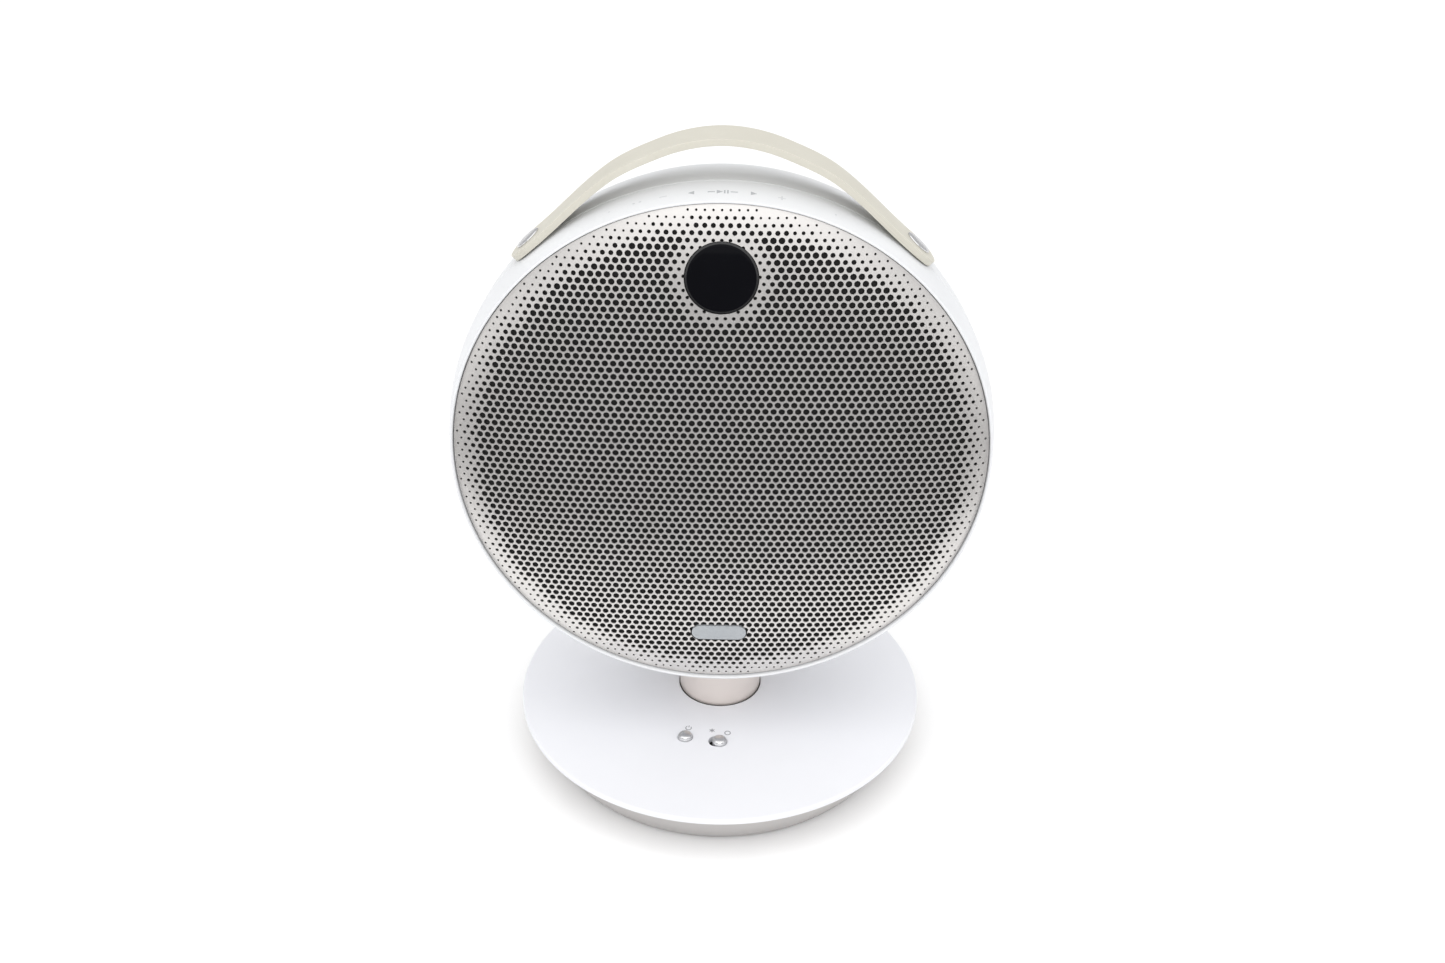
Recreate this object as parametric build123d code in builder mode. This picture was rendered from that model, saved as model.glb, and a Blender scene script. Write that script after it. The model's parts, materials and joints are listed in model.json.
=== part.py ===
"""Round smart speaker: a drum-shaped head with a domed metal grille and a carrying strap, on a
neck that swivels in a weighted round base. Millimetres, +Z up, front faces -Y, origin at the
centre of the base where it stands on the table."""

import os
from math import cos, pi, radians, sin, sqrt

from build123d import *

os.makedirs("parts", exist_ok=True)
pieces = {}

# Driving dimensions. The hole pitch of the perforated grille sets the scale of the whole head.
PITCH = 3.5
HEAD_RADIUS = 35 * PITCH            # widest radius of the shell, at the seam
HEAD_HEIGHT = 178.5                 # height of the head's axis over the table
RIM_Y = -42.2                       # plane of the grille's rim; depths below are counted from it
GRILLE_RADIUS = 33.6 * PITCH
LIP_RADIUS = 34.1 * PITCH
LIP_FRONT = -0.6 * PITCH
SEAM_DEPTH = 4.5 * PITCH            # where the front ring meets the rear shell
BOWL_DEPTH = 22 * PITCH             # from the seam to the back of the rear shell
BOWL_POWER = 3.1                    # exponent of the superellipse that shapes the rear shell
SHELL_WALL = 2.8
GRILLE_SHEET = 0.8
WINDOW_HEIGHT = 87.2                # window centre over the head's axis
WINDOW_RADIUS = 15.35
BADGE_DROP = 89.7                   # badge centre below the head's axis
BADGE_LENGTH, BADGE_WIDTH = 25.3, 8.1
SLOT_GAP = 0.5                      # gap round the badge in its slot
BAFFLE_FRONT, BAFFLE_BACK, BAFFLE_RADIUS = 4.0, 9.0, 114.5
NECK_RADIUS, NECK_BORE = 20.4, 17.4
NECK_FOOT, NECK_TOP = 24.1, 90.0
SPIGOT_RADIUS, SPIGOT_BORE, SPIGOT_END = 16.0, 13.0, 6.5
BASE_RADIUS, BASE_HEIGHT, PLATE_THICKNESS = 101.0, 24.5, 3.0
FOOT_RADIUS = 86.5
BASE_TURN = -10.0                   # the base is turned by this about Z, relative to the head
SWING = 45.0                        # swivel either way from the base's own front
BUTTON_X, CONTROL_Y = -8.0, -47.0
SLIDER_X, SLIDER_TRAVEL = 9.0, 1.7
KNOB_RADIUS, KNOB_GAP = 3.6, 0.2
WOOFER_DROP = -8.0
TWEETER_X, TWEETER_Z = 76.0, 50.0
MAIN_BOARD_FRONT, BOARD_THICKNESS = 66.0, 1.6
STRAP_WIDTH, STRAP_THICKNESS, STRAP_DEPTH = 21.0, 3.0, 19.8
STRAP_TIP, CAP_ANGLE, LIFT_ANGLE = 46.0, 41.3, 40.2   # angles from the vertical, about the axis

PLATE_UNDERSIDE = BASE_HEIGHT - PLATE_THICKNESS


def side(x=0.0, z=0.0):
    """Half-section plane of the head: local x is depth behind the rim, local y is radius."""
    return Plane(origin=(x, RIM_Y, HEAD_HEIGHT + z), x_dir=(0, 1, 0), z_dir=(1, 0, 0))


def axis(x=0.0, z=0.0):
    """Front-to-back axis that the head's round pieces are turned about."""
    return Axis((x, RIM_Y, HEAD_HEIGHT + z), (0, 1, 0))


def facing(depth, x=0.0, z=0.0):
    """Plane across the head at a depth behind the rim, looking out of the front."""
    return Plane(origin=(x, RIM_Y + depth, HEAD_HEIGHT + z), x_dir=(1, 0, 0), z_dir=(0, -1, 0))


BASE_RIGHT = (cos(radians(BASE_TURN)), sin(radians(BASE_TURN)), 0)
BASE_REAR = (-sin(radians(BASE_TURN)), cos(radians(BASE_TURN)), 0)


def level(height, up=1):
    """Horizontal plane of the base, turned with it; up is -1 for one seen from below."""
    return Plane(origin=(0, 0, height), x_dir=BASE_RIGHT, z_dir=(0, 0, up))


def rearward(distance, height):
    """Upright plane of the base that looks out of its back, at a distance from the centre."""
    x, y, _ = BASE_RIGHT
    origin = (BASE_REAR[0] * distance, BASE_REAR[1] * distance, height)
    return Plane(origin=origin, x_dir=(-x, -y, 0), z_dir=BASE_REAR)


def dome_rise(radius):
    """How far the grille stands out of its rim plane at a radius: a shallow dome, rolled edge."""
    t = radius / (34 * PITCH)
    return PITCH * (1.30 * (1 - t**2) + 0.21 * (1 - t**4) + 0.98 * (1 - t**10))


def dome_line(radius, gap):
    """Points of the dome's section from the axis out to a radius, moved back by a gap."""
    steps = (0, 0.25, 0.45, 0.6, 0.72, 0.81, 0.88, 0.93, 0.97, 1)
    return [(gap - dome_rise(radius * step), radius * step) for step in steps]


def dome_shell(radius, gap, thickness):
    """Round skin that follows the grille's dome, a gap behind its front face."""
    front = dome_line(radius, gap)
    back = dome_line(radius, gap + thickness)[::-1]
    with BuildPart() as skin:
        with BuildSketch(side()):
            with BuildLine():
                Spline(*front)
                Line(front[-1], back[0])
                Spline(*back)
                Line(back[-1], front[0])
            make_face()
        revolve(axis=axis())
    return skin.part


def bowl_line(inset):
    """Superellipse section of the rear shell, from the seam to the centre of the back."""
    power = 2 / BOWL_POWER
    angles = [radians(a) for a in (0, 6, 14, 24, 36, 48, 60, 72, 82, 90)]
    depth, radius = BOWL_DEPTH - inset, HEAD_RADIUS - inset
    return [(SEAM_DEPTH + depth * sin(a) ** power, radius * max(cos(a), 0) ** power) for a in angles]


def bowl(inset):
    """Solid of the rear shell's outline, set in by a wall thickness."""
    line = bowl_line(inset)
    with BuildPart() as solid:
        with BuildSketch(side()):
            with BuildLine():
                Spline(*line, tangents=[(1, 0), (0, -1)])
                Polyline(line[-1], (SEAM_DEPTH, 0), line[0])
            make_face()
        revolve(axis=axis())
    return solid.part


def keep(piece, name):
    """Label a finished sub-part and put it with the others."""
    piece.part.label = name
    pieces[name] = piece.part


# ------------------------------------------------------------------ head: casing
cavity = bowl(SHELL_WALL)

# Front ring: tapered band of the shell, with a rounded lip round the grille and an inner ledge.
LEDGE_FRONT, LEDGE_BACK, LEDGE_RADIUS = BAFFLE_BACK, 12.0, 107.0
LIP_BORE = GRILLE_RADIUS + 0.5
SCREW_CIRCLE = 109.5
with BuildPart() as front_ring:
    with BuildSketch(side()):
        with BuildLine():
            ThreePointArc((-1.4, LIP_BORE), (LIP_FRONT, LIP_BORE + 0.65), (-1.3, LIP_RADIUS))
            ThreePointArc((-1.3, LIP_RADIUS), (7.0, 121.35), (SEAM_DEPTH - 0.35, HEAD_RADIUS - 0.05))
            Polyline(
                (SEAM_DEPTH - 0.35, HEAD_RADIUS - 0.05),
                (SEAM_DEPTH - 0.35, HEAD_RADIUS - 4.1),
                (LEDGE_BACK, HEAD_RADIUS - 4.1),
                (LEDGE_BACK, LEDGE_RADIUS),
                (LEDGE_FRONT, LEDGE_RADIUS),
                (LEDGE_FRONT, LIP_BORE),
                (-1.4, LIP_BORE),
            )
        make_face()
    revolve(axis=axis())
    with BuildSketch(facing(0)):
        with PolarLocations(SCREW_CIRCLE, 8, start_angle=22.5):
            Circle(1.6)
    extrude(amount=-20, mode=Mode.SUBTRACT)
keep(front_ring, "front_ring")

# Screw bosses inside the rear shell: eight round the rim, four that carry the main board.
BOARD_BACK = MAIN_BOARD_FRONT + BOARD_THICKNESS
with BuildPart() as shell_bosses:
    with BuildSketch(facing(SEAM_DEPTH)):
        with PolarLocations(SCREW_CIRCLE, 8, start_angle=22.5):
            Circle(4.5)
    extrude(amount=-60)
    with BuildSketch(facing(BOARD_BACK)):
        with GridLocations(108, 68, 2, 2):
            Circle(3.5)
    extrude(amount=-40)
    add(cavity, mode=Mode.INTERSECT)

# Rear shell: one deep moulding with a tongue that locates in the front ring. The tongue is cut
# away round the two strap nuts, which sit on flats inside the shell.
NUT_SEAT = HEAD_RADIUS - SHELL_WALL - 1.1
with BuildPart() as rear_shell:
    add(bowl(0))
    add(cavity, mode=Mode.SUBTRACT)
    with BuildSketch(facing(SEAM_DEPTH)):
        Circle(HEAD_RADIUS - SHELL_WALL + 1)
        Circle(HEAD_RADIUS - 7.2, mode=Mode.SUBTRACT)
    extrude(amount=-3)
    with BuildSketch(facing(LEDGE_BACK + 0.2)):
        Circle(HEAD_RADIUS - 4.3)
        Circle(HEAD_RADIUS - 7.2, mode=Mode.SUBTRACT)
    extrude(amount=LEDGE_BACK + 0.2 - SEAM_DEPTH)
    add(shell_bosses.part)
    with BuildSketch(facing(LEDGE_BACK)):
        with PolarLocations(SCREW_CIRCLE, 8, start_angle=22.5):
            Circle(1.3)
    extrude(amount=-16, mode=Mode.SUBTRACT)
    with BuildSketch(Plane.XY.offset(40)):
        Circle(NECK_RADIUS + 0.5)
    extrude(amount=50, mode=Mode.SUBTRACT)
    with Locations(facing(STRAP_DEPTH)):
        with PolarLocations(HEAD_RADIUS - 5, 2, start_angle=90 - CAP_ANGLE, angular_range=2 * CAP_ANGLE, endpoint=True):
            Cylinder(2.1, 16, rotation=(0, 90, 0), mode=Mode.SUBTRACT)
        with PolarLocations(NUT_SEAT - 5, 2, start_angle=90 - CAP_ANGLE, angular_range=2 * CAP_ANGLE, endpoint=True):
            Cylinder(4.8, 10, rotation=(0, 90, 0), mode=Mode.SUBTRACT)
keep(rear_shell, "rear_shell")

# Domed grille: thin steel sheet with a short skirt, cut out for the window and the badge.
with BuildPart() as front_grille:
    add(dome_shell(GRILLE_RADIUS, 0, GRILLE_SHEET))
    with BuildSketch(facing(3.5)):
        Circle(GRILLE_RADIUS)
        Circle(GRILLE_RADIUS - GRILLE_SHEET, mode=Mode.SUBTRACT)
    extrude(amount=3.6)
    with BuildSketch(facing(5)):
        with Locations((0, WINDOW_HEIGHT)):
            Circle(WINDOW_RADIUS + 0.25)
        with Locations((0, -BADGE_DROP)):
            SlotOverall(BADGE_LENGTH + 2 * SLOT_GAP, BADGE_WIDTH + 2 * SLOT_GAP)
    extrude(amount=20, mode=Mode.SUBTRACT)
keep(front_grille, "front_grille")

# Acoustic cloth bonded behind the grille.
with BuildPart() as grille_cloth:
    add(dome_shell(GRILLE_RADIUS - 2.1, GRILLE_SHEET + 0.2, 0.5))
    with BuildSketch(facing(5)):
        with Locations((0, WINDOW_HEIGHT)):
            Circle(WINDOW_RADIUS + 0.3)
        with Locations((0, -BADGE_DROP)):
            with GridLocations(16, 0, 2, 1):
                Circle(2)
    extrude(amount=20, mode=Mode.SUBTRACT)
keep(grille_cloth, "grille_cloth")

# Dark rubber ring that fills the gap between the grille's skirt and the lip.
with BuildPart() as grille_gasket:
    with BuildSketch(facing(3.5)):
        Circle(LIP_BORE - 0.02)
        Circle(GRILLE_RADIUS + 0.02, mode=Mode.SUBTRACT)
    extrude(amount=2.5)
keep(grille_gasket, "grille_gasket")

# Glossy window that follows the dome, its holder on the baffle and the light board behind it.
WINDOW_THICKNESS = 2.0
with BuildPart() as status_window:
    with BuildSketch(facing(5, z=WINDOW_HEIGHT)):
        Circle(WINDOW_RADIUS)
    extrude(amount=20)
    add(dome_shell(GRILLE_RADIUS - 1, -0.2, WINDOW_THICKNESS + 0.2), mode=Mode.INTERSECT)
keep(status_window, "status_window")

with BuildPart() as window_holder:
    with BuildSketch(facing(BAFFLE_FRONT, z=WINDOW_HEIGHT)):
        Circle(WINDOW_RADIUS)
        Circle(WINDOW_RADIUS - 2.3, mode=Mode.SUBTRACT)
    extrude(amount=15)
    add(dome_shell(GRILLE_RADIUS - 1, WINDOW_THICKNESS, 14), mode=Mode.INTERSECT)
keep(window_holder, "window_holder")

with BuildPart() as window_board:
    with BuildSketch(facing(0, z=WINDOW_HEIGHT)):
        Circle(WINDOW_RADIUS - 2.4)
    extrude(amount=1.2)
keep(window_board, "window_board")

# Plain pill-shaped badge plate on two posts that reach the baffle.
with BuildPart() as badge_plate:
    with BuildSketch(facing(5, z=-BADGE_DROP)):
        SlotOverall(BADGE_LENGTH, BADGE_WIDTH)
    extrude(amount=20)
    add(dome_shell(GRILLE_RADIUS - 1, -0.3, 1.2), mode=Mode.INTERSECT)
    with BuildSketch(facing(BAFFLE_FRONT, z=-BADGE_DROP)):
        with GridLocations(16, 0, 2, 1):
            Circle(1.5)
    extrude(amount=BAFFLE_FRONT + dome_rise(BADGE_DROP) - 0.8)
keep(badge_plate, "badge_plate")

# Front baffle: the board that holds the speaker drivers, screwed through the ring's ledge.
WOOFER_OPENING, TWEETER_OPENING = 58.0, 13.5
WOOFER_SCREW_CIRCLE = 64.5
with BuildPart() as front_baffle:
    with BuildSketch(facing(BAFFLE_FRONT)):
        Circle(BAFFLE_RADIUS)
        with Locations((0, WOOFER_DROP)):
            Circle(WOOFER_OPENING, mode=Mode.SUBTRACT)
            with PolarLocations(WOOFER_SCREW_CIRCLE, 6, start_angle=30):
                Circle(1.6, mode=Mode.SUBTRACT)
        with Locations((TWEETER_X, TWEETER_Z), (-TWEETER_X, TWEETER_Z)):
            Circle(TWEETER_OPENING, mode=Mode.SUBTRACT)
        with PolarLocations(SCREW_CIRCLE, 8, start_angle=22.5):
            Circle(1.6, mode=Mode.SUBTRACT)
    extrude(amount=BAFFLE_FRONT - BAFFLE_BACK)
keep(front_baffle, "front_baffle")


def screws(name, heads, head_radius, head_height, shank_radius, length, spots):
    """Group of pan-head screws: heads stand on a plane, shanks go the other way."""
    with BuildPart() as group:
        with BuildSketch(heads):
            with Locations(*spots):
                Circle(head_radius)
        extrude(amount=head_height)
        with BuildSketch(heads):
            with Locations(*spots):
                Circle(shank_radius)
        extrude(amount=-length)
    keep(group, name)


def ring_of(radius, count, first):
    """Evenly spaced points on a circle, the first at an angle in degrees."""
    turns = [radians(first + 360 * k / count) for k in range(count)]
    return [(radius * cos(a), radius * sin(a)) for a in turns]


screws("baffle_screws", facing(BAFFLE_FRONT), 3.0, 1.8, 1.25, 20, ring_of(SCREW_CIRCLE, 8, 22.5))

# ------------------------------------------------------------------ head: woofer
FLANGE_FRONT = 1.5
with BuildPart() as woofer_frame:
    with BuildSketch(side(z=WOOFER_DROP)):
        with BuildLine():
            Polyline(
                (FLANGE_FRONT, 56), (FLANGE_FRONT, 68), (BAFFLE_FRONT, 68), (BAFFLE_FRONT, 57.5),
                (36, 38), (36, 18), (34, 18), (34, 36), (BAFFLE_FRONT, 55.5), (BAFFLE_FRONT, 56),
                close=True,
            )
        make_face()
    revolve(axis=axis(z=WOOFER_DROP))
    with BuildSketch(facing(6, z=WOOFER_DROP)):
        with PolarLocations(48, 6):
            Circle(7.5)
    extrude(amount=-24, mode=Mode.SUBTRACT)
    with BuildSketch(facing(FLANGE_FRONT, z=WOOFER_DROP)):
        with PolarLocations(WOOFER_SCREW_CIRCLE, 6, start_angle=30):
            Circle(1.6)
    extrude(amount=-2.5, mode=Mode.SUBTRACT)
    with BuildSketch(facing(27, z=WOOFER_DROP)):
        Circle(41)
        Circle(34, mode=Mode.SUBTRACT)
    extrude(amount=-1.5)
keep(woofer_frame, "woofer_frame")

# Rubber surround: a half roll between the cone's edge and the frame.
ROLL_CENTRE, ROLL_OUTER, ROLL_INNER = 51.4, 4.1, 3.3
with BuildPart() as woofer_surround:
    with BuildSketch(side(z=WOOFER_DROP)):
        with BuildLine():
            ThreePointArc(
                (FLANGE_FRONT, ROLL_CENTRE - ROLL_OUTER),
                (FLANGE_FRONT - ROLL_OUTER, ROLL_CENTRE),
                (FLANGE_FRONT - 0.6, ROLL_CENTRE + sqrt(ROLL_OUTER**2 - 0.6**2)),
            )
            Polyline(
                (FLANGE_FRONT - 0.6, ROLL_CENTRE + sqrt(ROLL_OUTER**2 - 0.6**2)),
                (FLANGE_FRONT - 0.6, 60),
                (FLANGE_FRONT, 60),
                (FLANGE_FRONT, ROLL_CENTRE + ROLL_INNER),
            )
            ThreePointArc(
                (FLANGE_FRONT, ROLL_CENTRE + ROLL_INNER),
                (FLANGE_FRONT - ROLL_INNER, ROLL_CENTRE),
                (FLANGE_FRONT, ROLL_CENTRE - ROLL_INNER),
            )
            Line((FLANGE_FRONT, ROLL_CENTRE - ROLL_INNER), (FLANGE_FRONT, ROLL_CENTRE - ROLL_OUTER))
        make_face()
    revolve(axis=axis(z=WOOFER_DROP))
keep(woofer_surround, "woofer_surround")

# Moving part of the woofer: paper cone, dust cap, and the voice coil on its former.
COIL_RADIUS = 14.0
with BuildPart() as woofer_cone:
    with BuildSketch(side(z=WOOFER_DROP)):
        with BuildLine():
            Polyline((1.0, 47), (2.2, 47), (21.7, COIL_RADIUS), (20.5, COIL_RADIUS), close=True)
        make_face()
    revolve(axis=axis(z=WOOFER_DROP))
keep(woofer_cone, "woofer_cone")

CAP_CURVE, CAP_FRONT, CAP_BACK = 27.1, 12.5, 18.5
with BuildPart() as dust_cap:
    with Locations((0, RIM_Y + CAP_FRONT + CAP_CURVE, HEAD_HEIGHT + WOOFER_DROP)):
        Sphere(CAP_CURVE)
        Sphere(CAP_CURVE - 0.6, mode=Mode.SUBTRACT)
    with BuildSketch(facing(CAP_BACK, z=WOOFER_DROP)):
        Rectangle(80, 80)
    extrude(amount=-60, mode=Mode.SUBTRACT)
keep(dust_cap, "dust_cap")


def woofer_ring(name, front, back, outer, inner):
    """Flat ring of the woofer between two depths."""
    with BuildPart() as ring:
        with BuildSketch(facing(front, z=WOOFER_DROP)):
            Circle(outer)
            Circle(inner, mode=Mode.SUBTRACT)
        extrude(amount=front - back)
    keep(ring, name)


woofer_ring("voice_coil", 20.5, 45, COIL_RADIUS, COIL_RADIUS - 0.6)
woofer_ring("woofer_spider", 26.4, 27, 40, COIL_RADIUS + 0.3)
woofer_ring("woofer_top_plate", 36, 41, 38, COIL_RADIUS + 1.2)
woofer_ring("woofer_magnet", 41, 56, 40, 22)

with BuildPart() as woofer_yoke:
    with BuildSketch(facing(61, z=WOOFER_DROP)):
        Circle(38)
    extrude(amount=5)
    with BuildSketch(facing(56, z=WOOFER_DROP)):
        Circle(COIL_RADIUS - 1.6)
    extrude(amount=20)
keep(woofer_yoke, "woofer_yoke")

screws("woofer_screws", facing(FLANGE_FRONT, z=WOOFER_DROP), 2.6, 1.6, 1.5, 7.5, ring_of(WOOFER_SCREW_CIRCLE, 6, 30))

# ------------------------------------------------------------------ head: tweeters
TWEETERS = ((TWEETER_X, TWEETER_Z), (-TWEETER_X, TWEETER_Z))
with BuildPart() as tweeter_plates:
    with BuildSketch(facing(BAFFLE_FRONT)):
        with Locations(*TWEETERS):
            Circle(17)
            Circle(10.2, mode=Mode.SUBTRACT)
    extrude(amount=2.6)
keep(tweeter_plates, "tweeter_plates")

with BuildPart() as tweeter_magnets:
    with BuildSketch(facing(BAFFLE_FRONT)):
        with Locations(*TWEETERS):
            Circle(13)
    extrude(amount=-18)
keep(tweeter_magnets, "tweeter_magnets")

DOME_RADIUS = 14.0
with BuildPart() as tweeter_domes:
    for x, z in TWEETERS:
        with Locations((x, RIM_Y + BAFFLE_FRONT + 10, HEAD_HEIGHT + z)):
            Sphere(DOME_RADIUS)
            Sphere(DOME_RADIUS - 0.5, mode=Mode.SUBTRACT)
    with BuildSketch(facing(BAFFLE_FRONT)):
        Rectangle(300, 300)
    extrude(amount=-60, mode=Mode.SUBTRACT)
keep(tweeter_domes, "tweeter_domes")

# ------------------------------------------------------------------ head: electronics
with BuildPart() as main_board:
    with BuildSketch(facing(MAIN_BOARD_FRONT)):
        Rectangle(120, 80)
    extrude(amount=-BOARD_THICKNESS)
keep(main_board, "main_board")

with BuildPart() as processor_shield:
    with BuildSketch(facing(MAIN_BOARD_FRONT)):
        with Locations((28, 16)):
            Rectangle(32, 28)
    extrude(amount=3)
keep(processor_shield, "processor_shield")

with BuildPart() as heat_sink:
    with BuildSketch(facing(BOARD_BACK)):
        with Locations((8, 16)):
            Rectangle(52, 36)
    extrude(amount=-3)
    with BuildSketch(facing(BOARD_BACK + 3)):
        with Locations((8, 16)):
            with GridLocations(7, 0, 8, 1):
                Rectangle(1.6, 36)
    extrude(amount=-8)
keep(heat_sink, "heat_sink")

with BuildPart() as capacitors:
    with BuildSketch(facing(BOARD_BACK)):
        with Locations((-42, 4), (-30, 4), (-42, -10)):
            Circle(5)
    extrude(amount=-10)
keep(capacitors, "capacitors")

# Curved touch board that lies under the top of the front ring.
TOUCH_SPREAD = 26.0
with BuildPart() as touch_board:
    with BuildSketch(side()):
        with Locations((6.5, 117.05)):
            Rectangle(4.4, 1.4)
    revolve(axis=axis(), revolution_arc=2 * TOUCH_SPREAD)
touch_board.part = touch_board.part.rotate(axis(), -TOUCH_SPREAD)
keep(touch_board, "touch_board")

# ------------------------------------------------------------------ neck and swivel
BUSH_WALL, BUSH_FLANGE, BUSH_FOOT = 3.0, 20.8, 10.5
with BuildPart() as neck_tube:
    with BuildSketch(Plane.XY.offset(NECK_FOOT)):
        Circle(NECK_RADIUS)
    extrude(amount=NECK_TOP - NECK_FOOT)
    with BuildSketch(Plane.XY.offset(NECK_FOOT + 4)):
        Circle(NECK_BORE)
    extrude(amount=NECK_TOP - NECK_FOOT - 4, mode=Mode.SUBTRACT)
    with BuildSketch(Plane.XY.offset(SPIGOT_END)):
        Circle(SPIGOT_RADIUS)
    extrude(amount=NECK_FOOT - SPIGOT_END)
    with BuildSketch(Plane.XY.offset(SPIGOT_END)):
        Circle(SPIGOT_BORE)
    extrude(amount=NECK_FOOT + 4 - SPIGOT_END, mode=Mode.SUBTRACT)
keep(neck_tube, "neck_tube")

# Ring fixed under the spigot, with a lug at the back that meets the base's two stops.
with BuildPart() as swivel_retainer:
    with BuildSketch(Plane.XY.offset(SPIGOT_END)):
        Circle(21)
        with Locations((0, 22.5)):
            Rectangle(6, 7)
        Circle(SPIGOT_RADIUS, mode=Mode.SUBTRACT)
    extrude(amount=3.1)
keep(swivel_retainer, "swivel_retainer")

with BuildPart() as swivel_washer:
    with BuildSketch(Plane.XY.offset(9.6)):
        Circle(19)
        Circle(SPIGOT_RADIUS, mode=Mode.SUBTRACT)
    extrude(amount=0.7)
keep(swivel_washer, "swivel_washer")

# Cast saddle inside the shell that the neck's top is clamped in.
NECK_SCREW_CIRCLE, BRACKET_RADIUS = 23.7, 27.0
with BuildPart() as neck_bracket:
    with BuildSketch(Plane.XY.offset(50)):
        Circle(BRACKET_RADIUS)
        Circle(NECK_RADIUS, mode=Mode.SUBTRACT)
        with Locations((0, RIM_Y + SEAM_DEPTH + 3.2)):
            Rectangle(80, 60, align=(Align.CENTER, Align.MAX), mode=Mode.SUBTRACT)
    extrude(amount=NECK_TOP - 50)
    add(cavity, mode=Mode.INTERSECT)
    with BuildSketch(Plane.XY.offset(NECK_TOP)):
        with PolarLocations(NECK_SCREW_CIRCLE, 4, start_angle=45):
            Circle(1.9)
    extrude(amount=-9, mode=Mode.SUBTRACT)
keep(neck_bracket, "neck_bracket")

with BuildPart() as neck_flange:
    with BuildSketch(Plane.XY.offset(NECK_TOP)):
        Circle(BRACKET_RADIUS)
        Circle(9, mode=Mode.SUBTRACT)
        with PolarLocations(NECK_SCREW_CIRCLE, 4, start_angle=45):
            Circle(1.9, mode=Mode.SUBTRACT)
    extrude(amount=3)
keep(neck_flange, "neck_flange")

screws("neck_screws", Plane.XY.offset(NECK_TOP + 3), 2.9, 2.2, 1.8, 10, ring_of(NECK_SCREW_CIRCLE, 4, 45))

# Rotary connector: passes power and signals from the fixed cable in the neck to the head.
CONNECTOR_TOP, CABLE_TOP, CABLE_RADIUS = 102.0, 98.5, 2.5
with BuildPart() as neck_connector:
    with BuildSketch(Plane.XY.offset(NECK_TOP + 3)):
        Circle(12)
    extrude(amount=CONNECTOR_TOP - NECK_TOP - 3)
    with BuildSketch(Plane.XY.offset(NECK_TOP + 3)):
        Circle(CABLE_RADIUS + 0.5)
    extrude(amount=CABLE_TOP + 0.4 - NECK_TOP - 3, mode=Mode.SUBTRACT)
keep(neck_connector, "neck_connector")

# Wiring loom from the connector to the back of the main board.
LOOM_Y = RIM_Y + BOARD_BACK + 2.2
with BuildPart() as head_loom:
    with BuildLine() as loom_route:
        FilletPolyline(
            (0, 0, CONNECTOR_TOP), (0, 0, CONNECTOR_TOP + 12), (0, LOOM_Y, 134), (0, LOOM_Y, 149), radius=10,
        )
    with BuildSketch(Plane(origin=loom_route.line @ 0, z_dir=loom_route.line % 0)):
        Circle(2)
    sweep()
keep(head_loom, "head_loom")

# ------------------------------------------------------------------ strap
MID_RADIUS = HEAD_RADIUS + 0.1 + STRAP_THICKNESS / 2


def on_shell(degrees, radius):
    """Point at an angle from the vertical, about the head's axis."""
    return (radius * sin(radians(degrees)), radius * cos(radians(degrees)))


TIP_ROUND = 9.8
STRAP_CROWN = ((47.8, 123.8, 36), (27.1, 134.4, 23), (0, 140.2, 0))    # x, z and slope in degrees


def strap_face(shift):
    """Tips, lift-off points and crown points of the strap's mid-line, moved outwards by a shift."""
    radius = MID_RADIUS + shift
    crown = [
        (x + shift * sin(radians(slope)), z + shift * cos(radians(slope)))
        for x, z, slope in STRAP_CROWN
    ]
    over = [on_shell(LIFT_ANGLE, radius), *crown]
    over += [(-x, z) for x, z in over[-2::-1]]
    middle = (STRAP_TIP + LIFT_ANGLE) / 2
    ends = [[on_shell(turn * a, radius) for a in (STRAP_TIP, middle, LIFT_ANGLE)] for turn in (1, -1)]
    return ends, over


LIFT_SLOPE = (cos(radians(LIFT_ANGLE)), sin(radians(LIFT_ANGLE)))
with BuildPart() as strap:
    with BuildSketch(facing(STRAP_DEPTH)):
        with BuildLine():
            tips = []
            for shift in (-STRAP_THICKNESS / 2, STRAP_THICKNESS / 2):
                ends, over = strap_face(shift)
                ThreePointArc(*ends[0])
                ThreePointArc(*ends[1])
                Spline(*over, tangents=[(-LIFT_SLOPE[0], LIFT_SLOPE[1]), (-LIFT_SLOPE[0], -LIFT_SLOPE[1])])
                tips.append((ends[0][0], ends[1][0]))
            Line(tips[0][0], tips[1][0])
            Line(tips[0][1], tips[1][1])
        make_face()
    extrude(amount=STRAP_WIDTH / 2, both=True)
    for turn in (1, -1):
        x, z = on_shell(turn * STRAP_TIP, 1)
        tip_plane = Plane(
            origin=(x * MID_RADIUS, RIM_Y + STRAP_DEPTH, HEAD_HEIGHT + z * MID_RADIUS),
            x_dir=(0, turn, 0), z_dir=(x, 0, z),
        )
        with BuildSketch(tip_plane):
            with Locations((0, TIP_ROUND / 2 - 1)):
                Rectangle(STRAP_WIDTH + 2, TIP_ROUND + 2)
            with Locations((0, 2 * TIP_ROUND)):
                RectangleRounded(STRAP_WIDTH, 4 * TIP_ROUND, TIP_ROUND, mode=Mode.SUBTRACT)
        extrude(amount=4, both=True, mode=Mode.SUBTRACT)
    with Locations(facing(STRAP_DEPTH)):
        with PolarLocations(MID_RADIUS, 2, start_angle=90 - CAP_ANGLE, angular_range=2 * CAP_ANGLE, endpoint=True):
            Cylinder(2.1, 8, rotation=(0, 90, 0), mode=Mode.SUBTRACT)
keep(strap, "strap")

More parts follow.
